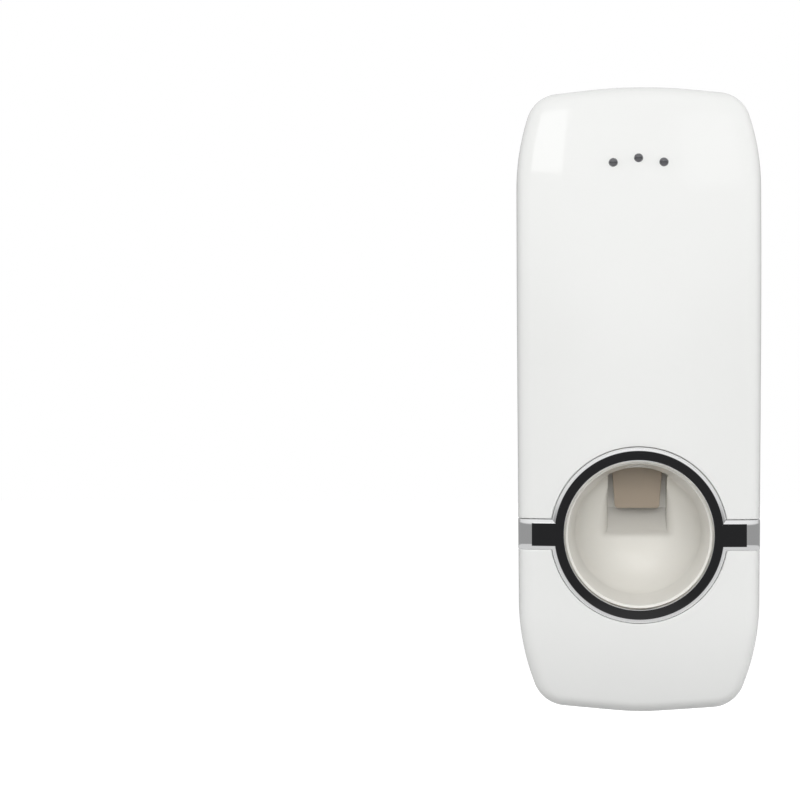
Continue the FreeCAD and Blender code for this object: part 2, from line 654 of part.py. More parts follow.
def port_liner():
    outside = bowl_form(LINER_WALL, SEAT_Y)
    flange = port_rod(TRIM_OUTER - FLANGE_INSET, SEAT_Y, FLANGE_Y)
    channel_xs = (-CHANNEL_HALF - LINER_WALL, CHANNEL_HALF + LINER_WALL)
    channel_back_y = CHANNEL_BACK_Y + LINER_WALL
    channel_zs = (CHANNEL_FOOT_Z - LINER_WALL, CHANNEL_TOP_Z)
    throat = block(channel_xs, (BOWL_BACK_Y - CHANNEL_WALL_REACH, BOWL_BACK_Y), channel_zs)
    throat = throat.common(port_rod(COLLAR_INNER - COLLAR_GAP, SEAT_Y, BOWL_BACK_Y))
    channel = block(channel_xs, (BOWL_BACK_Y, channel_back_y), channel_zs)
    liner = fused(outside, flange, throat, channel).cut(bowl_form(0, SEAT_Y - CUT))
    hollow = block((-CHANNEL_HALF, CHANNEL_HALF), (SLOT_Y, CHANNEL_BACK_Y), (CHANNEL_FOOT_Z, PIVOT_Z))
    outlet = upright(NOZZLE_RADIUS + NOZZLE_HOLE_GAP, VALVE_Y, PORT_Z, PIVOT_Z)
    return liner.cut([hollow, outlet])


def lever_lug():
    """Right-hand lug of the inner frame that carries the lever pin."""
    margin = PIN_RADIUS + LUG_MARGIN
    ys = (min(PIVOT_Y - margin, FRAME_Y), max(PIVOT_Y + margin, FRAME_BACK_Y))
    return block((WORKS_HALF, LUG_OUTER), ys, (PIVOT_Z - HUB_RADIUS, PIVOT_Z + HUB_RADIUS))


def works_slot():
    """Opening for the lever and its channel, through the sleeve and the frame."""
    zs = (CHANNEL_FOOT_Z - LINER_WALL - RUN_GAP, PUMP_Z + max(NOSE_RADIUS, TAIL_RADIUS) + RUN_GAP)
    return block((-WORKS_HALF, WORKS_HALF), (SLOT_Y - RUN_GAP, 0), zs)


def port_sleeve():
    """Sleeve round the bowl that carries the liner's flange on the inner frame."""
    sleeve = port_rod(COLLAR_OUTER, FRAME_Y, FLANGE_Y).cut(port_rod(COLLAR_INNER, FRAME_Y, FLANGE_Y))
    outlet = upright(NOZZLE_RADIUS + NOZZLE_HOLE_GAP, VALVE_Y, PORT_Z, PIVOT_Z)
    return sleeve.cut([works_slot(), outlet, *both_sides(lever_lug())])


def inner_frame():
    frame_zs = (FOOT_Z + FRAME_FOOT_RISE, SHELF_TOP_Z)
    plate = block((-FRAME_HALF, FRAME_HALF), (FRAME_BACK_Y, FRAME_Y), frame_zs)
    shelf_ys = (STUD_END_Y - RUN_GAP, -BODY_DEPTH + SHELL_WALL + SHELF_FRONT_GAP)
    shelf = block((-FRAME_HALF, FRAME_HALF), shelf_ys, (SHELF_Z, SHELF_TOP_Z))
    cheek = block((FRAME_HALF - CHEEK_THICKNESS, FRAME_HALF), (FRAME_BACK_Y, FRAME_Y - CHEEK_REACH),
                  (SHELF_TOP_Z - CHEEK_DROP, SHELF_TOP_Z))
    frame = fused(plate, shelf, *both_sides(cheek), *both_sides(lever_lug()))
    pin_x = LUG_OUTER + CUT
    cutters = [
        works_slot(),
        upright(SOCKET_RADIUS + RUN_GAP, SOCKET_Y, SHELF_Z - CUT, SHELF_TOP_Z + CUT),
        rod(PIN_RADIUS + PILOT_GAP, point(-pin_x, PIVOT_Y, PIVOT_Z), point(pin_x, PIVOT_Y, PIVOT_Z))]
    for spot in frame_screw_spots(FRAME_BACK_Y + CUT):
        cutters.append(rod(SCREW_HOLE_RADIUS, spot, point(spot.x, FRAME_Y - CUT, spot.z)))
    for spot in pump_screw_spots(SHELF_Z - CUT):
        cutters.append(rod(SCREW_HOLE_RADIUS, spot, point(spot.x, spot.y, SHELF_TOP_Z + CUT)))
    return frame.cut(cutters)


def pump_body():
    barrel = pump_rod(BARREL_RADIUS, BARREL_BACK_Y, BARREL_FRONT_Y)
    manifold = block((-MANIFOLD_HALF, MANIFOLD_HALF), (SOCKET_Y, BARREL_FRONT_Y),
                     (PUMP_Z + BORE_RADIUS + MID_WALL_SHARE * PUMP_WALL, MANIFOLD_Z))
    boss = upright(SOCKET_FLANGE_RADIUS, SOCKET_Y, BOSS_Z, MANIFOLD_Z)
    ear_x = EAR_REACH + EAR_HALF
    ear_ys = (SOCKET_Y - EAR_HALF, SOCKET_Y + EAR_HALF)
    ears = block((-ear_x, ear_x), ear_ys, (SHELF_Z - EAR_THICKNESS, SHELF_Z))
    ears = ears.cut(upright(SOCKET_FLANGE_RADIUS + RUN_GAP, SOCKET_Y, MANIFOLD_Z, SHELF_Z + CUT))
    outlet = upright(NOZZLE_FLANGE_RADIUS, VALVE_Y, OUTLET_Z, PUMP_Z)
    body = fused(barrel, manifold, boss, ears, outlet)
    disc_zs = (MANIFOLD_Z - INLET_DISC_THICKNESS, MANIFOLD_Z + CUT)
    cutters = [
        pump_rod(BORE_RADIUS, BARREL_BACK_Y + CUT, CHAMBER_FRONT_Y),
        upright(VALVE_RADIUS, VALVE_Y, OUTLET_Z - CUT, DUCT_Z),
        rod(DUCT_RADIUS, point(0, BARREL_FRONT_Y - CUT, DUCT_Z), point(0, SOCKET_Y, DUCT_Z)),
        upright(INLET_RADIUS, SOCKET_Y, DUCT_Z, MANIFOLD_Z + CUT),
        upright(INLET_DISC_RADIUS + PILOT_GAP, SOCKET_Y, *disc_zs)]
    for spot in pump_screw_spots(SHELF_Z + CUT):
        cutters.append(rod(PILOT_RADIUS, spot, point(spot.x, spot.y, SHELF_Z - EAR_THICKNESS - CUT)))
    return body.cut(cutters)


def pump_cap():
    """Gland at the barrel's rear that guides the rod and seats the spring."""
    spigot_y = BARREL_BACK_Y - CAP_SPIGOT
    spigot_radius = BORE_RADIUS - PILOT_GAP
    spigot = pump_rod(spigot_radius, BARREL_BACK_Y, spigot_y)
    spigot = spigot.cut(pump_rod(spigot_radius - CAP_SPIGOT_WALL, BARREL_BACK_Y, spigot_y))
    cap = fused(pump_rod(BARREL_RADIUS, CAP_Y, BARREL_BACK_Y), spigot)
    return cap.cut(pump_rod(ROD_RADIUS + PISTON_GAP, CAP_Y + CUT, spigot_y))


def duct_plug():
    """Plug that closes the front end of the paste duct."""
    front = point(0, BARREL_FRONT_Y, DUCT_Z)
    head = rod(PLUG_HEAD_RADIUS, front, front - Y_AXIS * PLUG_HEAD_THICKNESS)
    return fused(head, rod(DUCT_RADIUS - PILOT_GAP, front, front + Y_AXIS * PLUG_LENGTH))


def tube_socket():
    """Soft funnel that grips the neck of an upturned tube."""
    body = fused(upright(SOCKET_RADIUS, SOCKET_Y, MANIFOLD_Z, SOCKET_TOP_Z),
                 upright(SOCKET_FLANGE_RADIUS, SOCKET_Y, MANIFOLD_Z, SHELF_Z))
    lead_in = Part.makeCone(SOCKET_BORE_RADIUS, SOCKET_MOUTH_RADIUS, SOCKET_LEAD_IN,
                            point(0, SOCKET_Y, SOCKET_TOP_Z - SOCKET_LEAD_IN))
    return body.cut([upright(SOCKET_BORE_RADIUS, SOCKET_Y, MANIFOLD_Z + SOCKET_FLOOR, SOCKET_TOP_Z),
                     upright(INLET_RADIUS, SOCKET_Y, MANIFOLD_Z - CUT, SOCKET_TOP_Z), lead_in])


def inlet_valve():
    """Flap disc under the socket, slit round three sides of its flap."""
    disc = upright(INLET_DISC_RADIUS, SOCKET_Y, MANIFOLD_Z - INLET_DISC_THICKNESS, MANIFOLD_Z)
    zs = (MANIFOLD_Z - INLET_DISC_THICKNESS - CUT, MANIFOLD_Z + CUT)
    ring = upright(VALVE_RADIUS + INLET_SLIT, SOCKET_Y, *zs).cut(upright(VALVE_RADIUS, SOCKET_Y, *zs))
    hinge = block((-VALVE_RADIUS, VALVE_RADIUS), (SOCKET_Y, SOCKET_Y + SOCKET_FLANGE_RADIUS), zs)
    return disc.cut(ring.cut(hinge))


def outlet_nozzle():
    flange_z = OUTLET_Z - NOZZLE_FLANGE_THICKNESS
    body = fused(upright(NOZZLE_FLANGE_RADIUS, VALVE_Y, flange_z, OUTLET_Z),
                 upright(NOZZLE_RADIUS, VALVE_Y, NOZZLE_TIP_Z, OUTLET_Z))
    return body.cut(upright(NOZZLE_BORE_RADIUS, VALVE_Y, NOZZLE_TIP_Z - CUT, OUTLET_Z + CUT))


def outlet_valve():
    """Slit dome inside the nozzle, its rim against the pump's outlet."""
    radius = NOZZLE_BORE_RADIUS - PILOT_GAP
    rim_z = OUTLET_Z - NOZZLE_FLANGE_THICKNESS
    centre = point(0, VALVE_Y, rim_z)
    outside = fused(upright(radius, VALVE_Y, rim_z, OUTLET_Z), Part.makeSphere(radius, centre))
    inner = radius - DOME_WALL
    inside = fused(upright(inner, VALVE_Y, rim_z, OUTLET_Z + CUT), Part.makeSphere(inner, centre))
    slit_ys = (VALVE_Y - DOME_SLIT / 2, VALVE_Y + DOME_SLIT / 2)
    slit = block((-inner, inner), slit_ys, (rim_z - radius - CUT, rim_z))
    slit = slit.common(upright(inner, VALVE_Y, rim_z - radius - CUT, rim_z))
    return outside.cut([inside, slit])


def lever_pin():
    end_x = LUG_OUTER + PIN_END
    return rod(PIN_RADIUS, point(-end_x, PIVOT_Y, PIVOT_Z), point(end_x, PIVOT_Y, PIVOT_Z))


def push_lever():
    root_z = PIVOT_Z + NOSE_RADIUS
    tip_x, root_x = PADDLE_TIP_WIDTH / 2, PADDLE_ROOT_WIDTH / 2
    corners = [(-tip_x, PADDLE_TIP_Z, PADDLE_CORNER_RADIUS), (tip_x, PADDLE_TIP_Z, PADDLE_CORNER_RADIUS),
               (root_x, root_z, 0), (-root_x, root_z, 0)]
    face = Part.Face(rounded_wire(corners, lambda x, z: point(x, PADDLE_Y, z)))
    paddle = face.extrude(point(0, PADDLE_THICKNESS, 0))
    neck = block((-root_x, root_x), (PADDLE_Y, PIVOT_Y), (PIVOT_Z - NOSE_RADIUS, root_z))
    hub_x = WORKS_HALF - RUN_GAP
    hub = rod(HUB_RADIUS, point(-hub_x, PIVOT_Y, PIVOT_Z), point(hub_x, PIVOT_Y, PIVOT_Z))
    arm_x = ARM_WIDTH / 2
    arm = block((-arm_x, arm_x), (PIVOT_Y - NOSE_RADIUS, PIVOT_Y + NOSE_RADIUS), (PIVOT_Z, PUMP_Z))
    nose = rod(NOSE_RADIUS, point(-arm_x, PIVOT_Y, PUMP_Z), point(arm_x, PIVOT_Y, PUMP_Z))
    bore_x = hub_x + CUT
    bore = rod(PIN_RADIUS + PIN_GAP, point(-bore_x, PIVOT_Y, PIVOT_Z), point(bore_x, PIVOT_Y, PIVOT_Z))
    return fused(paddle, neck, hub, arm, nose).cut(bore)


def seal_centre():
    """Middle of the seal's groove, half-way along the piston's crown."""
    return point(0, (CROWN_BACK_Y + CROWN_FRONT_Y) / 2, PUMP_Z)


def seal_ring_radius():
    """Radius of the seal's centre line."""
    return BORE_RADIUS - SEAL_GAP - SEAL_RADIUS


def piston():
    body = fused(pump_rod(TAIL_RADIUS, TAIL_Y, SPRING_BACK_Y),
                 pump_rod(ROD_RADIUS, TAIL_Y, CROWN_BACK_Y),
                 pump_rod(PISTON_RADIUS, CROWN_BACK_Y, CROWN_FRONT_Y))
    half = SEAL_RADIUS + GROOVE_GAP
    middle_y = seal_centre().y
    groove = pump_rod(BORE_RADIUS, middle_y - half, middle_y + half)
    core = pump_rod(seal_ring_radius() - half, middle_y - half, middle_y + half)
    return body.cut(groove.cut(core))


def piston_seal():
    return Part.makeTorus(seal_ring_radius(), SEAL_RADIUS, seal_centre(), Y_AXIS)


def biarc(start, start_way, end, end_way):
    """Two tangent arcs from one point and direction to another."""
    span, ways = end - start, start_way + end_way
    spread = 2 * (1 - start_way.dot(end_way))
    along = span.dot(ways)
    reach = (math.sqrt(along ** 2 + spread * span.dot(span)) - along) / spread
    meeting = (start + end + (start_way - end_way) * reach) / 2
    halves = ((start, meeting, start + start_way * reach), (meeting, end, end - end_way * reach))
    arcs = []
    for first, last, corner in halves:
        middle = (first + last) / 2
        cosine = (last - first).Length / 2 / (corner - first).Length
        top = middle + (corner - middle) * (cosine / (1 + cosine))
        arcs.append(Part.Arc(first, top, last).toShape())
    return arcs


def return_spring():
    """Compression spring on the rod, as quarter turns of two tangent arcs each."""
    start_y = SPRING_BACK_Y - SPRING_WIRE_RADIUS
    length = SPRING_SPACE - 2 * SPRING_WIRE_RADIUS
    steps = SPRING_TURNS * QUARTER_TURNS
    rate = 2 * math.pi / QUARTER_TURNS
    pitch = length / SPRING_TURNS
    print("spring gap between turns", round(pitch - 2 * SPRING_WIRE_RADIUS, 3))

    def spot(step):
        turn = step * rate
        return point(SPRING_RADIUS * math.cos(turn), start_y - length * step / steps,
                     PUMP_Z + SPRING_RADIUS * math.sin(turn))

    def way(step):
        turn = step * rate
        round_way = SPRING_RADIUS * rate
        along = -length / steps
        return point(-round_way * math.sin(turn), along, round_way * math.cos(turn)).normalize()

    edges = []
    for step in range(steps):
        edges += biarc(spot(step), way(step), spot(step + 1), way(step + 1))
    section = Part.Wire(Part.makeCircle(SPRING_WIRE_RADIUS, spot(0), way(0)))
    return Part.Wire(edges).makePipeShell([section], True, False)


def frame_screws():
    return Part.makeCompound([screw(spot, Y_AXIS, FRAME_SCREW_LENGTH)
                              for spot in frame_screw_spots(FRAME_Y)])


def cover_screws():
    return Part.makeCompound([screw(spot, Y_AXIS * -1, COVER_SCREW_LENGTH)
                              for spot in cover_screw_spots(COVER_SEAT_Y)])


def pump_screws():
    length = SHELF_THICKNESS + EAR_THICKNESS
    return Part.makeCompound([screw(spot, Z_AXIS * -1, length)
                              for spot in pump_screw_spots(SHELF_TOP_Z)])


PIECES = (adhesive_pad, wall_plate, rear_housing, inner_frame, port_sleeve, frame_screws,
          lower_cover, cover_screws,
          trim_bezel, trim_inlay, port_liner, pump_body, pump_cap, pump_screws, duct_plug, tube_socket,
          inlet_valve, outlet_nozzle, outlet_valve, lever_pin, push_lever, piston, piston_seal,
          return_spring, upper_cover, trim_studs)

os.makedirs("parts", exist_ok=True)
for piece in PIECES:
    shape = piece()
    if not shape.isValid():
        print("not valid:", piece.__name__)
    print(piece.__name__, len(shape.Solids), round(shape.Volume, 1))
    shape.exportStep("parts/" + piece.__name__ + ".step")
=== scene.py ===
"""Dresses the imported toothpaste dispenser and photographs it.

The covers, trim, bowl and studs are numpy surfaces worked out from the casing's driving sizes, and
the spring is wound in its packed box. The housing, lever and wall plate are smoothed copies of their
solids, and the works behind keep theirs. Metres throughout: the wall is the plane y = 0, the front
faces -Y and +Z is up.
"""

import json
import logging
import math
from dataclasses import dataclass, field, replace
from enum import Enum
from typing import Any

import bmesh
import bpy
import numpy as np
from mathutils import Matrix, Vector

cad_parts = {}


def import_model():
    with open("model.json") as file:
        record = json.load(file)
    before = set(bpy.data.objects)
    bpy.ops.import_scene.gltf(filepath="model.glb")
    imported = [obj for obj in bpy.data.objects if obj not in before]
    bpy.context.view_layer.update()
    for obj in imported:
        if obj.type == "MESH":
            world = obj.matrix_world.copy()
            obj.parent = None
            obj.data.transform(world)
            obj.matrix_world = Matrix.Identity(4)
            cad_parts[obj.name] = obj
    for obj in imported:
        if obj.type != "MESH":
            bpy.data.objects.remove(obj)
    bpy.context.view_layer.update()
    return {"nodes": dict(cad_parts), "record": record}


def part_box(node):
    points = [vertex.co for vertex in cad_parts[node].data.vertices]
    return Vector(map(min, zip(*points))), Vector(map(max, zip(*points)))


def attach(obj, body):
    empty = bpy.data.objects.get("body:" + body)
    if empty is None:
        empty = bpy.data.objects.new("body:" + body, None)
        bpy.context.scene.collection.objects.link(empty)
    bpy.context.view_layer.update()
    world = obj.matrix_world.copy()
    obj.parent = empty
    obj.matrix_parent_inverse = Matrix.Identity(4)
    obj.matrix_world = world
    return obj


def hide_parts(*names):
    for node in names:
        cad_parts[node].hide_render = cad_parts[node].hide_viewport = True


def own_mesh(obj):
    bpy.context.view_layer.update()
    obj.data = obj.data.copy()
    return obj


LOG = logging.getLogger("dispenser")
IMAGE_SIZE = 800
SENSOR_MM = 36.0
# Points nearer than the first distance are one point; after cuts and bevels the second holds.
WELD = 1e-6
CLEAN_WELD = 5e-6
# Rounding of a block that cuts or adds, small enough not to show.
CUT_ROUNDING = 1e-5
ROUND_STEPS = 3
SHARP_ANGLE = math.radians(38)
WHITE = (1, 1, 1, 1)
Colour = tuple[float, float, float]
Pair = tuple[float, float]


def unit(vectors: np.ndarray) -> np.ndarray:
    """Vectors along the last axis, each divided by its length."""
    return vectors / np.linalg.norm(vectors, axis=-1, keepdims=True)


def placed(*columns: Any) -> np.ndarray:
    """Points along a new last axis, from columns of numbers or arrays that fit each other."""
    return np.stack(np.broadcast_arrays(*columns), axis=-1)


def circle(count: int) -> np.ndarray:
    """Angles evenly spaced round a full turn, the last one step short of the first."""
    return np.linspace(0, 2 * np.pi, count, endpoint=False)


def arc(centre: Pair, radius: float, start: float, end: float, steps: int) -> np.ndarray:
    """Points on an arc: centre + radius (cos t, sin t) for t from start to end.

    Args:
        centre: Middle of the arc.
        radius: Its radius.
        start: First angle in degrees.
        end: Last angle in degrees.
        steps: Number of stretches.

    Returns:
        Array of (steps + 1, 2) points.
    """
    turn = np.radians(np.linspace(start, end, steps + 1))
    return np.array(centre) + radius * placed(np.cos(turn), np.sin(turn))


def grid_faces(rows: int, columns: int, wrap_rows: bool = False, wrap_columns: bool = False) -> np.ndarray:
    """Four-cornered faces of a grid of points stored row by row.

    Args:
        rows: Number of rows.
        columns: Number of columns.
        wrap_rows: Whether the last row joins the first.
        wrap_columns: Whether the last column joins the first.

    Returns:
        Array of (faces, 4) indices.
    """
    index = np.arange(rows * columns).reshape(rows, columns)
    if wrap_rows:
        index = np.concatenate([index, index[:1]])
    if wrap_columns:
        index = np.concatenate([index, index[:, :1]], axis=1)
    corners = (index[:-1, :-1], index[1:, :-1], index[1:, 1:], index[:-1, 1:])
    return np.stack(corners, axis=-1).reshape(-1, 4)


@dataclass
class Form:
    """A surface as arrays of points and four-cornered faces."""

    points: np.ndarray
    faces: np.ndarray

    def joined(self, *others: "Form") -> "Form":
        """Puts this form and others into one.

        Args:
            *others: The other forms.

        Returns:
            One set of points and faces.
        """
        forms = (self, *others)
        starts = np.cumsum([0] + [len(form.points) for form in forms[:-1]])
        faces = [form.faces + start for form, start in zip(forms, starts)]
        return Form(np.concatenate([form.points for form in forms]), np.concatenate(faces))

    def mirrored(self) -> "Form":
        """The same form on the other side of the middle plane x = 0."""
        return Form(self.points * (-1, 1, 1), self.faces[:, ::-1])

    def outward(self) -> "Form":
        """Turns the faces of a closed form outwards, which makes its signed volume positive.

        Returns:
            The same form, or one with every face the other way round.
        """
        first, second, third, fourth = (self.points[self.faces[:, corner]] for corner in range(4))
        volume = np.sum(first * np.cross(second, third)) + np.sum(first * np.cross(third, fourth))
        return self if volume > 0 else Form(self.points, self.faces[:, ::-1])


def edge_ways(grid: np.ndarray, ring: bool) -> np.ndarray:
    """Ways that lead off a sheet at its open edges, and zero elsewhere.

    Each is the unit step from the neighbour inside to the edge point; a corner has the sum of two.

    Args:
        grid: Points of the sheet, (rows, columns, 3).
        ring: Whether the rows close on themselves.

    Returns:
        Array of the grid's shape.
    """
    ways = np.zeros_like(grid)
    ways[:, 0] += unit(grid[:, 0] - grid[:, 1])
    ways[:, -1] += unit(grid[:, -1] - grid[:, -2])
    if not ring:
        ways[0] += unit(grid[0] - grid[1])
        ways[-1] += unit(grid[-1] - grid[-2])
    return ways


def closed_sheet(outer: np.ndarray, inner: np.ndarray, rounding: float, ring: bool = False) -> Form:
    """A wall between two grids, closed round its edges by a rim with rounded corners.

    The rim's corner at angle t stands at p - w r (1 - sin t) + n r (1 - cos t), where p is the edge
    point, w the way off the sheet, n the way through the wall and r the rounding.

    Args:
        outer: Outer grid, (rows, columns, 3).
        inner: Inner grid of the same shape.
        rounding: Radius of the rim's corners.
        ring: Whether the rows close on themselves.

    Returns:
        The closed wall with its faces outwards.
    """
    rows, columns, _ = outer.shape
    count = rows * columns
    index = np.arange(count).reshape(rows, columns)
    if ring:
        loops = [index[:, 0], index[::-1, -1]]
    else:
        loops = [np.concatenate([index[:, 0], index[-1, 1:], index[-2::-1, -1], index[0, -2:0:-1]])]
    outer_way, inner_way = edge_ways(outer, ring), edge_ways(inner, ring)
    through = unit(inner - outer)
    points = [(outer - outer_way * rounding).reshape(-1, 3), (inner - inner_way * rounding).reshape(-1, 3)]
    sheet = grid_faces(rows, columns, wrap_rows=ring)
    faces = [sheet, sheet[:, ::-1] + count]
    turns = np.linspace(0, np.pi / 2, ROUND_STEPS + 1)[1:]
    steps = [(rounding * (1 - math.sin(turn)), rounding * (1 - math.cos(turn))) for turn in turns]
    used = 2 * count
    for loop in loops:
        flat = (grid.reshape(-1, 3)[loop] for grid in (outer, inner, outer_way, inner_way, through))
        out_edge, in_edge, out_way, in_way, depth = flat
        rim = [out_edge - out_way * back + depth * deep for back, deep in steps]
        rim += [in_edge - in_way * back - depth * deep for back, deep in steps[::-1]]
        lines = [used + step * len(loop) + np.arange(len(loop)) for step in range(len(rim))]
        lines = [loop, *lines, loop + count]
        used += len(rim) * len(loop)
        points += rim
        for first, second in zip(lines, lines[1:]):
            faces.append(np.stack([np.roll(first, -1), first, second, np.roll(second, -1)], axis=1))
    return Form(np.concatenate(points), np.concatenate(faces)).outward()


def block(half: float, ys: Pair, zs: Pair) -> Form:
    """A plain block about the middle plane x = 0, its rims hardly rounded.

    Args:
        half: Half its width.
        ys: Its lowest and highest y.
        zs: Its lowest and highest z.

    Returns:
        The closed block.
    """
    x, z = np.meshgrid([-half, half], zs)
    front, rear = (placed(x, y, z) for y in ys)
    return closed_sheet(front, rear, CUT_ROUNDING)


def lofted(rings: np.ndarray, wrap_rows: bool = False) -> Form:
    """A closed skin over a row of rings, which starts and ends in a point or closes on itself.

    Args:
        rings: Points of (rings, points round each, 3).
        wrap_rows: Whether the last ring joins the first.

    Returns:
        The skin with its faces outwards.
    """
    faces = grid_faces(*rings.shape[:2], wrap_rows=wrap_rows, wrap_columns=True)
    return Form(rings.reshape(-1, 3), faces).outward()


def turned(profile: np.ndarray, axis_z: float, segments: int) -> Form:
    """A solid turned about the line x = 0, z = axis_z from a profile that starts and ends on it.

    Args:
        profile: Points of (radius, y).
        axis_z: Height of the axis, which runs along Y.
        segments: Number of steps round the axis.

    Returns:
        The closed solid.
    """
    angle = circle(segments)
    radius, y = (column[:, None] for column in profile.T)
    return lofted(placed(radius * np.cos(angle), y, axis_z + radius * np.sin(angle)))


class Wire:
    """A node's output socket that sums and products can be written with."""

    def __init__(self, graph: "Graph", socket: bpy.types.NodeSocket) -> None:
        """Holds a socket of a graph."""
        self.graph = graph
        self.socket = socket

    def _math(self, operation: str, first: Any, second: Any) -> "Wire":
        """A Math node on two values."""
        return self.graph.node("ShaderNodeMath", {"operation": operation}, {0: first, 1: second}, 0)

    def __add__(self, other: Any) -> "Wire":
        """self + other."""
        return self._math("ADD", self, other)

    def __sub__(self, other: Any) -> "Wire":
        """self - other."""
        return self._math("SUBTRACT", self, other)

    def __rsub__(self, other: Any) -> "Wire":
        """other - self."""
        return self._math("SUBTRACT", other, self)

    def __mul__(self, other: Any) -> "Wire":
        """self * other."""
        return self._math("MULTIPLY", self, other)

    __radd__ = __add__
    __rmul__ = __mul__


class Graph:
    """Adds nodes to one node tree."""

    def __init__(self, tree: bpy.types.NodeTree) -> None:
        """Takes over a tree and clears it."""
        self.tree = tree
        tree.nodes.clear()

    def node(self, kind: str, settings: dict[str, Any], inputs: dict[Any, Any], output: Any) -> Wire:
        """Adds one node.

        Args:
            kind: The node's type.
            settings: Its properties, set first; "stops" are a ramp's (place, colour) pairs.
            inputs: Values or wires by socket name or number.
            output: Name or number of the output that is wanted.

        Returns:
            That output as a wire, or an empty one where the node has no output.
        """
        made = self.tree.nodes.new(kind)
        for name, value in settings.items():
            if name == "stops":
                marks = made.color_ramp.elements
                marks[0].position, marks[0].color = value[0]
                marks[1].position, marks[1].color = value[-1]
                for place, colour in value[1:-1]:
                    marks.new(place).color = colour
            else:
                setattr(made, name, value)
        for name, value in inputs.items():
            if isinstance(value, Wire):
                self.tree.links.new(value.socket, made.inputs[name])
            else:
                made.inputs[name].default_value = value
        return Wire(self, made.outputs[output]) if made.outputs else Wire(self, None)

    def noise(self, place: Wire, scale: float, detail: float, stretch: Colour = (1, 1, 1)) -> Wire:
        """Smooth noise on stretched coordinates.

        Args:
            place: The coordinates.
            scale: Waves in a metre.
            detail: How many finer layers it has.
            stretch: What each coordinate is multiplied by first.

        Returns:
            The noise, from 0 to 1.
        """
        spread = self.node("ShaderNodeMapping", {}, {"Vector": place, "Scale": stretch}, "Vector")
        inputs = {"Vector": spread, "Scale": scale, "Detail": detail}
        return self.node("ShaderNodeTexNoise", {}, inputs, "Fac")

    def mixed(self, factor: Wire, first: Any, second: Any) -> Wire:
        """A colour between two, by a factor."""
        return self.node("ShaderNodeMix", {"data_type": "RGBA"}, {0: factor, 6: first, 7: second}, 2)


class Grain(Enum):
    """How the skin of a finish breaks up the light."""

    MOULDED = "moulded"
    PLATED = "plated"
    DRAWN = "drawn"
    FOAMED = "foamed"


GRAIN_STRETCH = {Grain.MOULDED: (1, 1, 1), Grain.PLATED: (1, 1, 1), Grain.DRAWN: (1, 12, 1)}


@dataclass(frozen=True)
class Finish:
    """One material of the dispenser, patterned in object coordinates."""

    slot: str
    colour: Colour
    drift: Colour
    roughness: float
    roughness_drift: float
    grain: Grain
    grain_size: float
    grain_depth: float
    metallic: float = 0.0
    coat: float = 0.0
    specular: float = 0.5
    coat_roughness: float = 0.04
    cloud_size: float = 0.03
    cloud_detail: float = 2.0
    grain_detail: float = 3.0
    shade: str = ""

    def material(self) -> bpy.types.Material:
        """Makes the Blender material once; the plain one packed for the slot keeps its own name.

        Returns:
            The new material, or the one that is there already.
        """
        name = self.slot + self.shade + "_finish"
        known = bpy.data.materials.get(name)
        if known:
            return known
        material = bpy.data.materials.new(name)
        material.use_nodes = True
        self._wire(Graph(material.node_tree))
        return material

    def _relief(self, graph: Graph, place: Wire) -> Wire:
        """Height of the grain: cells for foam, otherwise noise stretched along the draw.

        Args:
            graph: The material's graph.
            place: Object coordinates.

        Returns:
            The height.
        """
        scale = 1 / self.grain_size
        if self.grain is Grain.FOAMED:
            return graph.node("ShaderNodeTexVoronoi", {}, {"Vector": place, "Scale": scale}, "Distance")
        return graph.noise(place, scale, self.grain_detail, GRAIN_STRETCH[self.grain])

    def _wire(self, graph: Graph) -> None:
        """Wires the shader: clouds of colour, roughness from clouds and grain, bump from grain.

        Args:
            graph: The material's empty graph.
        """
        place = graph.node("ShaderNodeTexCoord", {}, {}, "Object")
        relief = self._relief(graph, place)
        clouds = graph.noise(place, 1 / self.cloud_size, self.cloud_detail)
        colour = graph.mixed(clouds, (*self.colour, 1), (*self.drift, 1))
        rough = self.roughness + self.roughness_drift * (clouds + relief - 1.0)
        heights = {"Height": relief, "Strength": 1.0, "Distance": self.grain_depth}
        bump = graph.node("ShaderNodeBump", {}, heights, "Normal")
        shader = graph.node("ShaderNodeBsdfPrincipled", {}, {
            "Base Color": colour, "Roughness": rough, "Normal": bump, "Metallic": self.metallic,
            "Coat Weight": self.coat, "Coat Roughness": self.coat_roughness,
            "Specular IOR Level": self.specular}, "BSDF")
        graph.node("ShaderNodeOutputMaterial", {}, {"Surface": shader}, 0)


SHELL = Finish(
    "shell_white", (0.85, 0.855, 0.842), (0.835, 0.84, 0.825), roughness=0.3, roughness_drift=0.05,
    grain=Grain.MOULDED, grain_size=0.0035, grain_depth=0.00001, coat=0.9, specular=0.25)
# White liner plastic, darker and warmer than the shell: painted shade and painted warm bounce light inside
# the bowl.
LINER_AND_SHADE = Finish(
    "liner_white", (0.83, 0.815, 0.77), (0.81, 0.795, 0.75), roughness=0.24, roughness_drift=0.06,
    grain=Grain.MOULDED, grain_size=0.003, grain_depth=0.00001, coat=0.15)
CHROME = Finish(
    "chrome_trim", (0.84, 0.845, 0.85), (0.8, 0.8, 0.805), roughness=0.08, roughness_drift=0.04,
    grain=Grain.PLATED, grain_size=0.0016, grain_depth=0.000003, metallic=1.0)
# Chrome darkened for the studs: painted dark reflection and painted contact shadow on the domes.
PAINTED_DARK_CHROME = replace(CHROME, colour=(0.2, 0.2, 0.21), drift=(0.16, 0.16, 0.17), shade="_smoked")
# Black of the inlay: painted reflection of the dark room that the ring's flat chrome face mirrors.
PAINTED_REFLECTION_BLACK = Finish(
    "black_gloss", (0.004, 0.004, 0.005), (0.007, 0.007, 0.008), roughness=0.1, roughness_drift=0.05,
    grain=Grain.MOULDED, grain_size=0.0025, grain_depth=0.000004)
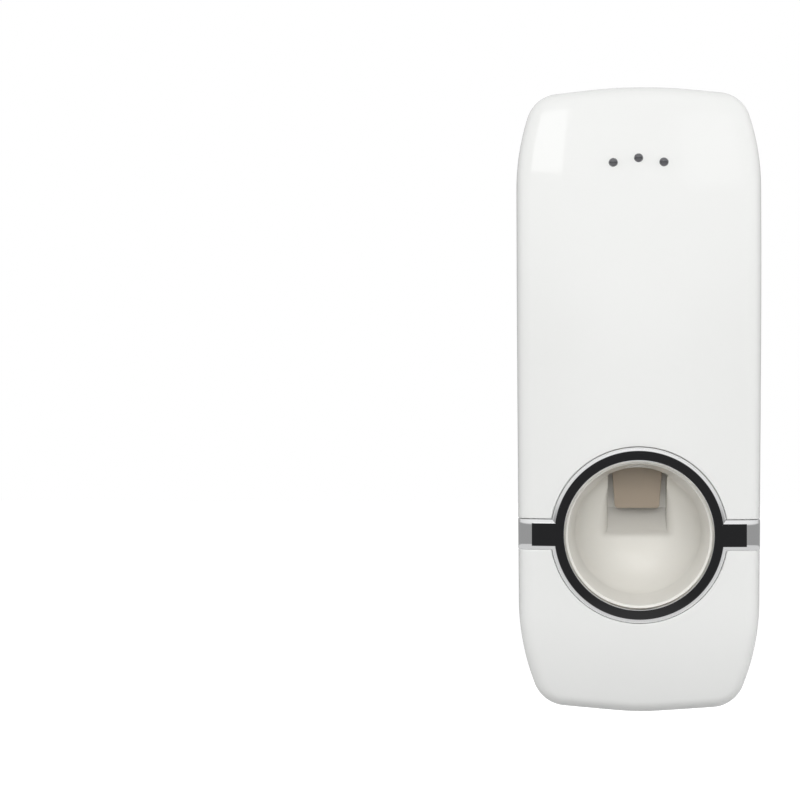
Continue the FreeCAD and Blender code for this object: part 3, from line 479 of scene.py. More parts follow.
# Grey-brown lever plastic, made darker as painted shade of the bowl's ceiling above it.
TAUPE_AND_SHADE = Finish(
    "lever_taupe", (0.42, 0.35, 0.275), (0.4, 0.332, 0.26), roughness=0.42, roughness_drift=0.1,
    grain=Grain.MOULDED, grain_size=0.0006, grain_depth=0.00002)
GREY = Finish(
    "works_grey", (0.55, 0.55, 0.54), (0.5, 0.5, 0.49), roughness=0.45, roughness_drift=0.1,
    grain=Grain.MOULDED, grain_size=0.0008, grain_depth=0.00002)
SILICONE = Finish(
    "silicone", (0.62, 0.62, 0.6), (0.56, 0.56, 0.54), roughness=0.5, roughness_drift=0.12,
    grain=Grain.MOULDED, grain_size=0.0012, grain_depth=0.00003)
STEEL = Finish(
    "steel", (0.6, 0.6, 0.6), (0.52, 0.52, 0.53), roughness=0.3, roughness_drift=0.1,
    grain=Grain.DRAWN, grain_size=0.0006, grain_depth=0.000008, metallic=1.0)
FOAM = Finish(
    "foam_tape", (0.76, 0.76, 0.74), (0.7, 0.7, 0.68), roughness=0.85, roughness_drift=0.08,
    grain=Grain.FOAMED, grain_size=0.0007, grain_depth=0.00015)
FINISHES = {finish.slot: finish
            for finish in (SHELL, LINER_AND_SHADE, CHROME, PAINTED_REFLECTION_BLACK, TAUPE_AND_SHADE, GREY, SILICONE, STEEL, FOAM)}


class Cut(Enum):
    """How one solid works on another."""

    ADD = "UNION"
    TAKE = "DIFFERENCE"


def linked(name: str, data: Any) -> bpy.types.Object:
    """Makes an object and links it to the scene.

    Args:
        name: The object's name.
        data: Its mesh, light or camera.

    Returns:
        The object.
    """
    made = bpy.data.objects.new(name, data)
    bpy.context.scene.collection.objects.link(made)
    return made


def new_object(name: str, form: Form) -> bpy.types.Object:
    """A mesh object at the origin, with coincident points merged.

    Args:
        name: The object's name.
        form: Its surface.

    Returns:
        The object, linked to the scene.
    """
    mesh = bpy.data.meshes.new(name)
    mesh.from_pydata(form.points, [], form.faces.tolist())
    weld(mesh)
    return linked(name, mesh)


def weld(mesh: bpy.types.Mesh, flat_angle: float = 0.0, distance: float = WELD) -> None:
    """Merges coincident points and, where an angle is given, joins faces that lie flat together.

    Args:
        mesh: The mesh to clean.
        flat_angle: Largest angle between faces that count as flat, or zero to leave all faces.
        distance: How near points have to lie to be merged.
    """
    work = bmesh.new()
    work.from_mesh(mesh)
    bmesh.ops.remove_doubles(work, verts=work.verts, dist=distance)
    bmesh.ops.dissolve_degenerate(work, edges=work.edges, dist=distance)
    if flat_angle:
        bmesh.ops.dissolve_limit(work, angle_limit=flat_angle, verts=work.verts, edges=work.edges)
    work.to_mesh(mesh)
    work.free()


def carve(piece: bpy.types.Object, tool: Form, cut: Cut) -> None:
    """Adds a solid to a piece or takes it away, and keeps the result as the piece's mesh.

    Args:
        piece: The object.
        tool: The solid's surface.
        cut: Whether it is added or taken away.
    """
    helper = new_object("carving_tool", tool)
    modifier = piece.modifiers.new("carving", "BOOLEAN")
    modifier.operation = cut.value
    modifier.solver = "EXACT"
    modifier.object = helper
    seen = piece.evaluated_get(bpy.context.evaluated_depsgraph_get())
    result = bpy.data.meshes.new_from_object(seen)
    piece.modifiers.clear()
    piece.data = result
    helper_mesh = helper.data
    bpy.data.objects.remove(helper)
    bpy.data.meshes.remove(helper_mesh)


def dress(piece: bpy.types.Object, finish: Finish, body: str, *nodes: str) -> None:
    """Gives a piece its finish, body and slot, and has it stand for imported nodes.

    Args:
        piece: The object.
        finish: Its material.
        body: The body that it rides on.
        *nodes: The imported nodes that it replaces.
    """
    mesh = piece.data
    mesh.shade_smooth()
    mesh.set_sharp_from_angle(angle=SHARP_ANGLE)
    mesh.materials.clear()
    mesh.materials.append(finish.material())
    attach(piece, body)
    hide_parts(*nodes)
    LOG.info("%s: %d faces, rides on %s", piece.name, len(mesh.polygons), body)


@dataclass
class Outline:
    """The casing's front outline as dense points with inward normals, from the middle of the foot."""

    points: np.ndarray
    inward: np.ndarray
    reach: np.ndarray = field(init=False)

    def __post_init__(self) -> None:
        """Measures the way round from the first point."""
        steps = np.linalg.norm(np.diff(self.points, axis=0, append=self.points[:1]), axis=1)
        self.reach = np.concatenate([[0], np.cumsum(steps)])

    def at(self, reach: np.ndarray) -> tuple[np.ndarray, np.ndarray]:
        """Points and unit inward normals at distances round the outline.

        Args:
            reach: Distances from the first point.

        Returns:
            Arrays of (n, 2) points and normals.
        """
        columns = np.concatenate([self.points, self.inward], axis=1)
        columns = np.concatenate([columns, columns[:1]])
        sampled = np.stack([np.interp(reach, self.reach, column) for column in columns.T], axis=-1)
        return sampled[:, :2], unit(sampled[:, 2:])

    def right_reach(self, z: np.ndarray) -> np.ndarray:
        """Distance from the foot to a height on the right-hand side, where z only grows."""
        half = slice(0, int(np.argmax(self.points[:, 1])))
        return np.interp(z, self.points[half, 1], self.reach[half])


@dataclass(frozen=True)
class Casing:
    """The casing's outer form, from the same driving sizes as the solids."""

    width: float = 0.0726
    height: float = 0.186
    depth: float = 0.058
    foot_z: float = -0.128
    wall: float = 0.0022
    parting_y: float = -0.024
    edge_radius: float = 0.005
    plan_radius: float = 0.25
    brow_radius: float = 0.3
    brow_rise: float = 0.105
    chin_radius: float = 0.11
    chin_rise: float = 0.036
    foot_crown: float = 0.09
    top_crown: float = 0.15
    run_gap: float = 0.0003
    corner_shares: tuple = ((0.788, 0.0102), (0.972, 0.113), (1.0, 0.895), (0.857, 0.9876))
    corner_radii: tuple = (0.01, 0.072, 0.073, 0.01)
    point_spacing: float = 0.0002
    least_arc_points: int = 4
    least_run_points: int = 3
    crown_steps: int = 6
    tilt_share: float = 0.2

    def corners(self) -> np.ndarray:
        """Corners (x, z, radius) of the outline, counter-clockwise seen from the front.

        A crown's corner stands above its rounded top by radius (hypot(1, rise / run) - 1).

        Returns:
            Array of (corners, 3).
        """
        right = [(across * self.width / 2, self.foot_z + up * self.height, radius)
                 for (across, up), radius in zip(self.corner_shares, self.corner_radii)]
        left = [(-x, z, radius) for x, z, radius in reversed(right)]
        top_z = self.foot_z + self.height
        foot_lift = self._crown_lift(right[0][0], right[0][1] - self.foot_z, self.foot_crown)
        top_lift = self._crown_lift(right[-1][0], top_z - right[-1][1], self.top_crown)
        foot = (0, self.foot_z - foot_lift, self.foot_crown)
        top = (0, top_z + top_lift, self.top_crown)
        return np.array([foot, *right, top, *left])

    def _crown_lift(self, run: float, drop: float, radius: float) -> float:
        """Height of a crown's corner above its rounded top, by repeated approach.

        Args:
            run: Distance from the middle to the next corner.
            drop: How far the rounded top stands off that corner.
            radius: The crown's radius.

        Returns:
            The height.
        """
        lift = 0.0
        for _ in range(self.crown_steps):
            lift = radius * (math.hypot(1, (drop + lift) / run) - 1)
        return lift

    def outline(self) -> Outline:
        """Rounds the outline: at each corner an arc whose centre lies left of the way round.

        Returns:
            The outline from the middle of the foot.
        """
        corner = self.corners()
        spot, radius = corner[:, :2], corner[:, 2]
        way = unit(np.roll(spot, -1, axis=0) - spot)
        heading = np.arctan2(way[:, 1], way[:, 0])
        before = np.roll(heading, 1)
        turn = (heading - before) % (2 * np.pi)
        reach = radius * np.tan(turn / 2)
        points, inward = [], []
        for place in range(len(corner)):
            count = max(self.least_arc_points, int(radius[place] * turn[place] / self.point_spacing))
            angle = before[place] + np.linspace(0, turn[place], count)
            normal = placed(-np.sin(angle), np.cos(angle))
            start = spot[place] - np.roll(way, 1, axis=0)[place] * reach[place]
            points.append(start + radius[place] * (normal[0] - normal))
            inward.append(normal)
            after = (place + 1) % len(corner)
            end = points[-1][-1]
            goal = spot[after] - way[place] * reach[after]
            count = max(self.least_run_points, int(np.linalg.norm(goal - end) / self.point_spacing))
            share = np.linspace(0, 1, count)[1:-1, None]
            points.append(end + (goal - end) * share)
            inward.append(np.broadcast_to(normal[-1], points[-1].shape))
        all_points, all_inward = np.concatenate(points), np.concatenate(inward)
        # The foot's middle has the least |x| of the points that aren't above the origin.
        first = int(np.argmin(np.abs(all_points[:, 0]) + (all_points[:, 1] > 0)))
        return Outline(np.roll(all_points, -first, axis=0), np.roll(all_inward, -first, axis=0))

    def front_y(self, x: np.ndarray, z: np.ndarray, offset: Any = 0.0) -> np.ndarray:
        """Depth of the front at (x, z), set back by an offset.

        The side profile is straight between a brow arc above and a chin arc below, and it is swept
        round an upright axis behind the front: y = axis - sqrt((axis - profile)^2 - x^2).

        Args:
            x: Places across.
            z: Heights.
            offset: How far behind the front, one value or an array.

        Returns:
            Array of y.
        """
        rise = z - self.foot_z
        brow = np.maximum(rise - self.brow_rise, 0)
        chin = np.maximum(self.chin_rise - rise, 0)
        over = self.brow_radius - np.sqrt((self.brow_radius - offset) ** 2 - brow ** 2)
        under = self.chin_radius - np.sqrt((self.chin_radius - offset) ** 2 - chin ** 2)
        profile = np.where(brow > 0, over, under) - self.depth
        axis = self.plan_radius - self.depth
        return axis - np.sqrt((axis - profile) ** 2 - x ** 2)

    def rolled(self, base: np.ndarray, inward: np.ndarray, goal: np.ndarray, rear_y: float,
               rows: tuple[int, int, int], inset: float = 0.0, proud: Any = 0.0) -> np.ndarray:
        """A sheet up the side wall, round the front edge and across the front.

        The edge is a rolling ball of the edge radius: its middle stands in from the wall by the
        radius and behind the front by radius / cos(tilt), and the arc ends where it meets the front.

        Args:
            base: Points (n, 2) on the outline.
            inward: Unit inward normals there.
            goal: Points (n, 2) on the front where each line ends.
            rear_y: Where the side wall starts.
            rows: Numbers of steps on the wall, the edge and the front.
            inset: How far the sheet lies inside the outer form.
            proud: How far the front stands out of it, one value or one for each line.

        Returns:
            Grid of (n, rows, 3) points.
        """
        offset = inset - np.broadcast_to(np.asarray(proud, float), base.shape[:1])
        radius = self.edge_radius - inset
        start = base + inward * inset
        ball = start + inward * radius
        step = radius * self.tilt_share
        near = ball - inward * step
        front = self.front_y(ball[:, 0], ball[:, 1], offset)
        tilt = np.arctan((self.front_y(near[:, 0], near[:, 1], offset) - front) / step)
        middle_y = front + radius / np.cos(tilt)
        share = np.linspace(0, 1, rows[0], endpoint=False)
        wall_y = rear_y + (middle_y[:, None] - rear_y) * share
        wall = np.broadcast_to(start[:, None, :], (*wall_y.shape, 2))
        turn = (np.pi / 2 - tilt)[:, None] * np.linspace(0, 1, rows[1] + 1)
        edge = start[:, None, :] + inward[:, None, :] * (radius * (1 - np.cos(turn)))[..., None]
        edge_y = middle_y[:, None] - radius * np.sin(turn)
        share = np.linspace(0, 1, rows[2] + 1)[1:, None]
        face = edge[:, -1:, :] + (goal[:, None, :] - edge[:, -1:, :]) * share
        face_y = self.front_y(face[..., 0], face[..., 1], offset[:, None])
        flat = np.concatenate([wall, edge, face], axis=1)
        y = np.concatenate([wall_y, edge_y, face_y], axis=1)
        return placed(flat[..., 0], y, flat[..., 1])


@dataclass(frozen=True)
class Port:
    """Sizes of the brush port and of the trim round it."""

    z: float = -0.0752
    radius: float = 0.0208
    trim_inner: float = 0.0214
    inlay_inner: float = 0.022
    inlay_outer: float = 0.0247
    trim_outer: float = 0.0258
    inlay_half: float = 0.00335
    band_half: float = 0.00445
    arm_end: float = 0.0314
    proud: float = 0.0008
    inlay_thickness: float = 0.0005
    seat_y: float = -0.055


@dataclass
class Covers:
    """The two white covers of the casing's front."""

    casing: Casing
    port: Port
    rim_rounding: float = 0.00035
    seam: float = 0.00014
    upper_columns: int = 260
    lower_columns: int = 200
    rows: tuple[int, int, int] = (8, 10, 44)
    rib_inner: float = 0.0305
    rib_ys: Pair = (-0.0279, -0.0259)
    rib_zs: Pair = (-0.062, 0.03)
    rib_rows: int = 24

    def _cover(self, seam_z: float, upper: bool, columns: int, rear_y: float) -> Form:
        """A cover between the outline and the ring's opening, cut straight at the seam.

        Lines run from the outline to the circle round the trim, evenly spaced on both.

        Args:
            seam_z: Height of the seam.
            upper: Whether the cover lies above the seam.
            columns: Number of lines.
            rear_y: Where its side wall starts.

        Returns:
            The closed wall.
        """
        outline = self.casing.outline()
        whole = outline.reach[-1]
        side = float(outline.right_reach(np.array(seam_z)))
        opening = self.port.trim_outer + self.seam
        lean = math.asin((seam_z - self.port.z) / opening)
        if upper:
            reach = np.linspace(side, whole - side, columns)
            angle = np.linspace(lean, np.pi - lean, columns)
        else:
            reach = np.linspace(-side, side, columns) % whole
            angle = np.linspace(-np.pi - lean, lean, columns)
        base, inward = outline.at(reach)
        goal = placed(opening * np.cos(angle), self.port.z + opening * np.sin(angle))
        outer = self.casing.rolled(base, inward, goal, rear_y, self.rows)
        inner = self.casing.rolled(base, inward, goal, rear_y, self.rows, inset=self.casing.wall)
        return closed_sheet(outer, inner, self.rim_rounding)

    def _rib(self) -> Form:
        """Right-hand rib that runs behind the housing's rail, out to the middle of the wall.

        Returns:
            The closed rib.
        """
        outline = self.casing.outline()
        z = np.linspace(*self.rib_zs, self.rib_rows)
        base, _ = outline.at(outline.right_reach(z))
        x = placed(self.rib_inner, base[:, 0] - self.casing.wall / 2)
        front, rear = (placed(x, y, z[:, None]) for y in self.rib_ys)
        return closed_sheet(front, rear, self.rim_rounding)

    def build(self) -> None:
        """Makes both covers."""
        gap = self.casing.run_gap
        upper = self._cover(self.port.z + self.port.band_half + self.seam, True, self.upper_columns,
                            self.casing.parting_y - gap)
        rib = self._rib()
        cover = new_object("upper_cover_shell", upper.joined(rib, rib.mirrored()))
        dress(cover, SHELL, "cover", "upper_cover")
        lower = self._cover(self.port.z - self.port.band_half, False, self.lower_columns,
                            self.casing.parting_y)
        dress(new_object("lower_cover_shell", lower), SHELL, "casing", "lower_cover")


@dataclass
class Trim:
    """The bright bezel with its inlay, whose black is a painted dark reflection, and the three studs."""

    casing: Casing
    port: Port
    lip_height: float = 0.0001
    bevel_inset: float = 0.00012
    ring_root: float = 0.001
    ring_segments: int = 256
    arm_rounding: float = 0.0001
    arm_edge_columns: int = 8
    arm_bed_columns: int = 12
    arm_rows: tuple[int, int, int] = (8, 12, 10)
    inlay_rounding: float = 0.00012
    inlay_lift: float = 0.00003
    inlay_arm_columns: int = 7
    inlay_ring_columns: int = 56
    inlay_rows: int = 10
    stud_radius: float = 0.0014
    stud_sink: float = 0.0003
    stud_spacing: float = 0.00745
    stud_z: float = 0.0359
    stud_drop: float = 0.0013
    stud_rows: int = 25
    stud_segments: int = 40

    def _ring(self) -> Form:
        """The bezel's ring: a closed profile carried round the port, its top following the front.

        A profile point is (radius, height above the casing's front); the rear stays on the seat.

        Returns:
            The closed ring.
        """
        port, edge = self.port, self.bevel_inset
        floor = port.proud - port.inlay_thickness
        profile = np.array([
            (port.trim_outer, -self.ring_root), (port.trim_outer, self.lip_height - edge),
            (port.trim_outer - edge / 3, self.lip_height), (port.inlay_outer + edge, port.proud - edge / 2),
            (port.inlay_outer + edge / 2, port.proud), (port.inlay_outer, port.proud),
            (port.inlay_outer, floor), (port.inlay_inner, floor), (port.inlay_inner, port.proud),
            (port.inlay_inner - edge, port.proud - edge / 3),
            (port.trim_inner + edge, self.lip_height + edge), (port.trim_inner, self.lip_height - edge),
            (port.trim_inner, -self.ring_root)])
        angle = circle(self.ring_segments)
        radius, height = (column[:, None] for column in profile.T)
        x, z = radius * np.cos(angle), port.z + radius * np.sin(angle)
        top = placed(x, self.casing.front_y(x, z) - height, z)
        seat = top[[-1, 0]]
        seat[..., 1] = port.seat_y
        return lofted(np.concatenate([top, seat]), wrap_rows=True)

    def _arm(self) -> Form:
        """Right-hand arm from under the ring round the side, bevelled along its two edges.

        Returns:
            The closed arm.
        """
        port, casing = self.port, self.casing
        outline = casing.outline()
        edge = np.linspace(port.inlay_half, port.band_half, self.arm_edge_columns)
        bed = np.linspace(-port.inlay_half, port.inlay_half, self.arm_bed_columns)
        across = np.concatenate([-edge[::-1], bed[1:-1], edge])
        base, inward = outline.at(outline.right_reach(port.z + across))
        proud = np.interp(np.abs(across), [port.inlay_half, port.band_half], [port.proud, self.lip_height])
        root = np.sqrt(port.inlay_outer ** 2 - across ** 2) - port.proud
        goal = placed(root, port.z + across)
        outer = casing.rolled(base, inward, goal, casing.parting_y, self.arm_rows, proud=proud)
        inner = casing.rolled(base, inward, goal, casing.parting_y, self.arm_rows, inset=casing.wall)
        return closed_sheet(outer, inner, self.arm_rounding)

    def _inlay(self) -> Form:
        """The inlay as one sheet in polar lines from its inner circle to its outer edge.

        The outer edge is the circle, or where a line leaves through an arm, the arm's end or side.

        Returns:
            The closed sheet.
        """
        port = self.port
        end_angle = math.atan2(port.inlay_half, port.arm_end)
        root_angle = math.asin(port.inlay_half / port.inlay_outer)
        quarter = np.concatenate([np.linspace(0, end_angle, self.inlay_arm_columns)[:-1],
                                  np.linspace(end_angle, root_angle, self.inlay_arm_columns)[:-1],
                                  np.linspace(root_angle, np.pi / 2, self.inlay_ring_columns)])
        half = np.concatenate([quarter, np.pi - quarter[-2::-1]])
        angle = np.concatenate([half, half[1:-1] + np.pi])
        steep, level = np.abs(np.sin(angle)), np.abs(np.cos(angle))
        lean = np.arctan2(steep, level)
        to_end = port.arm_end / np.maximum(level, WELD)
        to_side = port.inlay_half / np.maximum(steep, WELD)
        reach = np.select([lean <= end_angle, lean <= root_angle], [to_end, to_side], port.inlay_outer)
        share = np.linspace(0, 1, self.inlay_rows)
        radius = port.inlay_inner + (reach[:, None] - port.inlay_inner) * share
        x, z = radius * np.cos(angle)[:, None], port.z + radius * np.sin(angle)[:, None]
        front = self.casing.front_y(x, z)
        top = placed(x, front - port.proud - self.inlay_lift, z)
        foot = placed(x, front - port.proud + port.inlay_thickness, z)
        return closed_sheet(top, foot, self.inlay_rounding, ring=True)

    def _stud(self, side: int) -> Form:
        """One stud: a ball sunk in the cover, on latitude and longitude lines about the front.

        Args:
            side: -1, 0 or 1 for the left, middle or right one.

        Returns:
            The closed ball.
        """
        x, z = side * self.stud_spacing, self.stud_z - abs(side) * self.stud_drop
        y = float(self.casing.front_y(np.array(x), np.array(z))) + self.stud_sink
        turn = np.linspace(0, np.pi, self.stud_rows)
        profile = placed(self.stud_radius * np.sin(turn), y - self.stud_radius * np.cos(turn))
        ball = turned(profile, z, self.stud_segments)
        return Form(ball.points + (x, 0, 0), ball.faces)

    def build(self) -> None:
        """Makes the bezel, the inlay and the studs."""
        arm = self._arm()
        bezel = new_object("trim_bezel_plated", self._ring().joined(arm, arm.mirrored()))
        dress(bezel, CHROME, "casing", "trim_bezel")
        # The inlay's black is a painted dark reflection.
        dress(new_object("trim_inlay_gloss", self._inlay()), PAINTED_REFLECTION_BLACK, "casing", "trim_inlay")
        studs = self._stud(-1).joined(self._stud(0), self._stud(1))
        # The studs' darker chrome is painted dark reflection and shadow.
        dress(new_object("trim_studs_plated", studs), PAINTED_DARK_CHROME, "cover", "trim_studs")


@dataclass
class BrushPort:
    """The white bowl behind the ring, with the lever's channel through its back and ceiling."""

    port: Port
    wall: float = 0.0012
    depth: float = 0.0275
    taper: float = 0.0018
    corner_radius: float = 0.012
    flange_radius: float = 0.0246
    flange_thickness: float = 0.0015
    lip: float = 0.0005
    channel_half: float = 0.00895
    channel_back_y: float = -0.01966
    channel_foot_drop: float = 0.0004
    channel_rise: float = 0.0205
    channel_lap: float = 0.006
    slot_y: float = -0.042
    cut_rise: float = 0.03
    outlet_y: float = -0.04749
    outlet_radius: float = 0.0039
    mouth_radius: float = 0.003
    mouth_least: float = 0.0004
    mouth_rise: float = 0.0125
    mouth_slip: float = 0.00002
    ramp_lean: float = math.radians(48)
    ramp_bed_share: float = 0.92
    segments: int = 192
    corner_steps: int = 20
    flange_steps: int = 5
    lip_steps: int = 6
    mouth_side_points: int = 30
    mouth_corner_points: int = 8
    mouth_foot_points: int = 24
    mouth_rings: int = 9
    outlet_segments: int = 48

    def _bowl(self, wall: float) -> np.ndarray:
        """Profile from the back on the axis, round the corner and up the tapered wall to the seat.

        The corner's arc ends where the wall touches it: acos(r / hypot(run, drop)) - atan2(drop, run).

        Args:
            wall: How far the profile lies outside the bowl's inside.

        Returns:
            Points of (radius, y).
        """
        back_y = self.port.seat_y + self.depth + wall
        mouth = self.port.radius + wall
        back = mouth - self.taper
        radius = self.corner_radius + wall
        run, drop = self.taper + radius, self.depth + wall - radius
        lean = math.acos(radius / math.hypot(run, drop)) - math.atan2(drop, run)
        corner = arc((back - radius, back_y - radius), radius, 90, math.degrees(lean), self.corner_steps)
        return np.concatenate([[(0, back_y)], corner, [(mouth, self.port.seat_y)]])

    def _bowl_y(self, x: np.ndarray, z: np.ndarray) -> np.ndarray:
        """Depth of the bowl's inside: level in the middle, then an arc of the corner's radius.

        Args:
            x: Places across.
            z: Heights.

        Returns:
            Array of y.
        """
        level = self.port.radius - self.taper - self.corner_radius
        beyond = np.clip(np.hypot(x, z - self.port.z) - level, 0, self.corner_radius)
        fall = self.corner_radius - np.sqrt(self.corner_radius ** 2 - beyond ** 2)
        return self.port.seat_y + self.depth - fall

    def _mouth(self, foot_z: float) -> Form:
        """Cut that rounds the channel's front edges along the bowl's surface.

        A ring at angle t stands off the channel by r (1 - sin t) and behind the bowl by r (1 - cos t).
        The radius r falls towards the top, and each ring closes across the open channel there.

        Args:
            foot_z: Height of the channel's foot.

        Returns:
            The closed cut.
        """
        top_z = self.port.z + self.mouth_rise
        half = self.channel_half - self.mouth_slip
        foot_z = foot_z + self.mouth_slip
        side_z = np.linspace(top_z, foot_z, self.mouth_side_points)
        turn = np.linspace(0, np.pi / 2, self.mouth_corner_points)[1:-1]
        foot_x = np.linspace(half, -half, self.mouth_foot_points)[:self.mouth_foot_points // 2]
        right = placed(half, side_z, 1.0, 0.0)
        corner = placed(half, foot_z, np.cos(turn), -np.sin(turn))
        foot = placed(foot_x, foot_z, 0.0, -1.0)
        near = np.concatenate([right, corner, foot])
        far = (near * (-1, 1, -1, 1))[::-1]
        x, z, out_x, out_z = np.concatenate([near, far]).T
        share = np.clip((top_z - z) / (top_z - foot_z), 0, 1)
        radius = self.mouth_least + (self.mouth_radius - self.mouth_least) * share * (2 - share)
        angle = np.linspace(0, np.pi / 2, self.mouth_rings)[:, None]
        spread = radius * (1 - np.sin(angle))
        ring_x, ring_z = x + out_x * spread, z + out_z * spread
        ring_y = self._bowl_y(ring_x, ring_z) + radius * (1 - np.cos(angle)) - self.mouth_slip
        rings = placed(ring_x, ring_y, ring_z)
        lead = rings[:1] - (0, self.mouth_least, 0)
        middle_z = (top_z + foot_z) / 2
        front, rear = (np.broadcast_to((0, y, middle_z), lead.shape)
                       for y in (self.slot_y, self.port.seat_y + self.depth + self.mouth_radius))
        return lofted(np.concatenate([front, lead, rings, rear]))

    def _ramp(self, foot_z: float, back_y: float) -> Form:
        """Slope from the mouth's foot up to the channel's back.

        It leaves the rounding of radius r where that has turned by t, a right angle less the slope's
        lean: at (r (1 - cos t), -r (1 - sin t)) from the channel's foot.

        Args:
            foot_z: Height of the channel's foot.
            back_y: Depth of the bowl's back.

        Returns:
            The closed wedge.
        """
        turn = math.pi / 2 - self.ramp_lean
        start_y = back_y + self.mouth_radius * (1 - math.cos(turn))
        start_z = foot_z - self.mouth_radius * (1 - math.sin(turn)) - self.mouth_slip
        end_y = self.channel_back_y + self.wall / 2
        end_z = start_z + (end_y - start_y) * math.tan(self.ramp_lean)
        below = foot_z - self.wall * self.ramp_bed_share
        x = self.channel_half + self.wall * self.ramp_bed_share
        slope = [[(side, start_y, start_z), (side, end_y, end_z)] for side in (-x, x)]
        bed = [[(side, start_y, below), (side, end_y, below)] for side in (-x, x)]
        return closed_sheet(np.array(slope), np.array(bed), CUT_ROUNDING)

    def _drill(self) -> Form:
        """Upright round cut for the outlet, from the port's axis to above the liner.

        Returns:
            The closed cylinder.
        """
        angle = circle(self.outlet_segments)
        radius = self.outlet_radius * np.array([[0], [1], [1], [0]])
        height = self.port.z + self.cut_rise * np.array([[0], [0], [1], [1]])
        return lofted(placed(radius * np.cos(angle), self.outlet_y + radius * np.sin(angle), height))

    def build(self) -> None:
        """Makes the liner: bowl, flange and channel, less the inside, the slot and the outlet."""
        seat, z = self.port.seat_y, self.port.z
        outside = self._bowl(self.wall)
        flange_y = seat + self.flange_thickness
        outside[-1, 1] = flange_y
        rim = arc((self.flange_radius - self.lip, seat + self.lip), self.lip, 0, -90, self.flange_steps)
        body = np.concatenate([outside, [(self.flange_radius, flange_y)], rim, [(0, seat)]])
        liner = new_object("port_liner_bowl", turned(body, z, self.segments))
        foot_z = z - self.channel_foot_drop
        bowl_back = seat + self.depth
        channel = block(self.channel_half + self.wall,
                        (bowl_back - self.channel_lap, self.channel_back_y + self.wall),
                        (foot_z - self.wall, z + self.channel_rise - self.wall))
        carve(liner, channel, Cut.ADD)
        inside = self._bowl(0.0)[:-1]
        mouth = arc((self.port.radius + self.lip, seat + self.lip), self.lip, 180, 270, self.lip_steps)
        front = [(self.port.radius + self.lip, seat - self.wall), (0, seat - self.wall)]
        carve(liner, turned(np.concatenate([inside, mouth, front]), z, self.segments), Cut.TAKE)
        slot = block(self.channel_half, (self.slot_y, self.channel_back_y), (foot_z, z + self.cut_rise))
        carve(liner, slot, Cut.TAKE)
        carve(liner, self._mouth(foot_z), Cut.TAKE)
        carve(liner, self._ramp(foot_z, bowl_back), Cut.ADD)
        carve(liner, self._drill(), Cut.TAKE)
        weld(liner.data, distance=CLEAN_WELD)
        # The liner's darker, warmer white is partly painted shade and bounce light.
        dress(liner, LINER_AND_SHADE, "casing", "port_liner")


@dataclass
class Copies:
    """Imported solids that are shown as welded, smoothly shaded copies with eased edges."""

    nodes: dict[str, bpy.types.Object]
    flat_angle: float = math.radians(0.5)
    easing_steps: int = 2
    lever_easing: float = 0.0004
    plate_easing: float = 0.0003

    def _show(self, node: str, name: str, finish: Finish, body: str, easing: float = 0.0) -> None:
        """Shows one node as a copy.

        Args:
            node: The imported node.
            name: The copy's name.
            finish: Its material.
            body: The body that it rides on.
            easing: Width of a small bevel on its sharp edges, or zero for none.
        """
        mesh = self.nodes[node].data.copy()
        mesh.name = name
        mesh.transform(self.nodes[node].matrix_world)
        weld(mesh, self.flat_angle)
        piece = linked(name, mesh)
        if easing:
            bevel = piece.modifiers.new("easing", "BEVEL")
            bevel.width = easing
            bevel.segments = self.easing_steps
            bevel.limit_method = "ANGLE"
            bevel.angle_limit = SHARP_ANGLE
            piece.modifiers.new("merging", "WELD").merge_threshold = CLEAN_WELD
        dress(piece, finish, body, node)

    def build(self) -> None:
        """Shows the housing, the lever and the wall plate."""
        self._show("rear_housing", "rear_housing_shell", SHELL, "casing")
        # The lever's taupe is partly its plastic and partly painted shade.
        self._show("push_lever", "push_lever_moulded", TAUPE_AND_SHADE, "lever", self.lever_easing)
        self._show("wall_plate", "wall_plate_moulded", GREY, "wall_mount", self.plate_easing)


@dataclass
class ReturnSpring:
    """The piston's spring, a round wire wound on the rod, which shortens with the stroke."""

    wire: float = 0.00035
    turns: int = 4
    stroke: float = 0.0027925
    steps: int = 240
    sides: int = 14

    def build(self) -> None:
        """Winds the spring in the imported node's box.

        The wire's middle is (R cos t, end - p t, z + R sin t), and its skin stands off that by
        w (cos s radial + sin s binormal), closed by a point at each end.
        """
        low, high = (np.array(corner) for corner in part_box("return_spring"))
        radius = (high[0] - low[0]) / 2 - self.wire
        length = high[1] - low[1] - 2 * self.wire
        whole = 2 * np.pi * self.turns
        pitch = length / whole
        turn = np.linspace(0, whole, self.steps)
        radial = placed(np.cos(turn), 0, np.sin(turn))
        start = (0, high[1] - self.wire, (low[2] + high[2]) / 2)
        middle = start + radius * radial - placed(0, turn * pitch, 0)
        way = placed(-radius * np.sin(turn), -pitch, radius * np.cos(turn))
        side = np.cross(unit(way), radial)
        angle = circle(self.sides)[:, None]
        off = np.cos(angle) * radial[:, None] + np.sin(angle) * side[:, None]
        skin = middle[:, None] + self.wire * off
        first, last = (np.broadcast_to(middle[place], skin[:1].shape) for place in (0, -1))
        spring = new_object("return_spring_wound", lofted(np.concatenate([first, skin, last])))
        dress(spring, STEEL, "casing", "return_spring")
        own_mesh(spring)


@dataclass(frozen=True)
class Lamp:
    """An oblong area lamp aimed at the dispenser, mirrored in its gloss or not."""

    name: str
    place: tuple[float, float, float]
    size: Pair
    power: float
    mirrored: bool = False


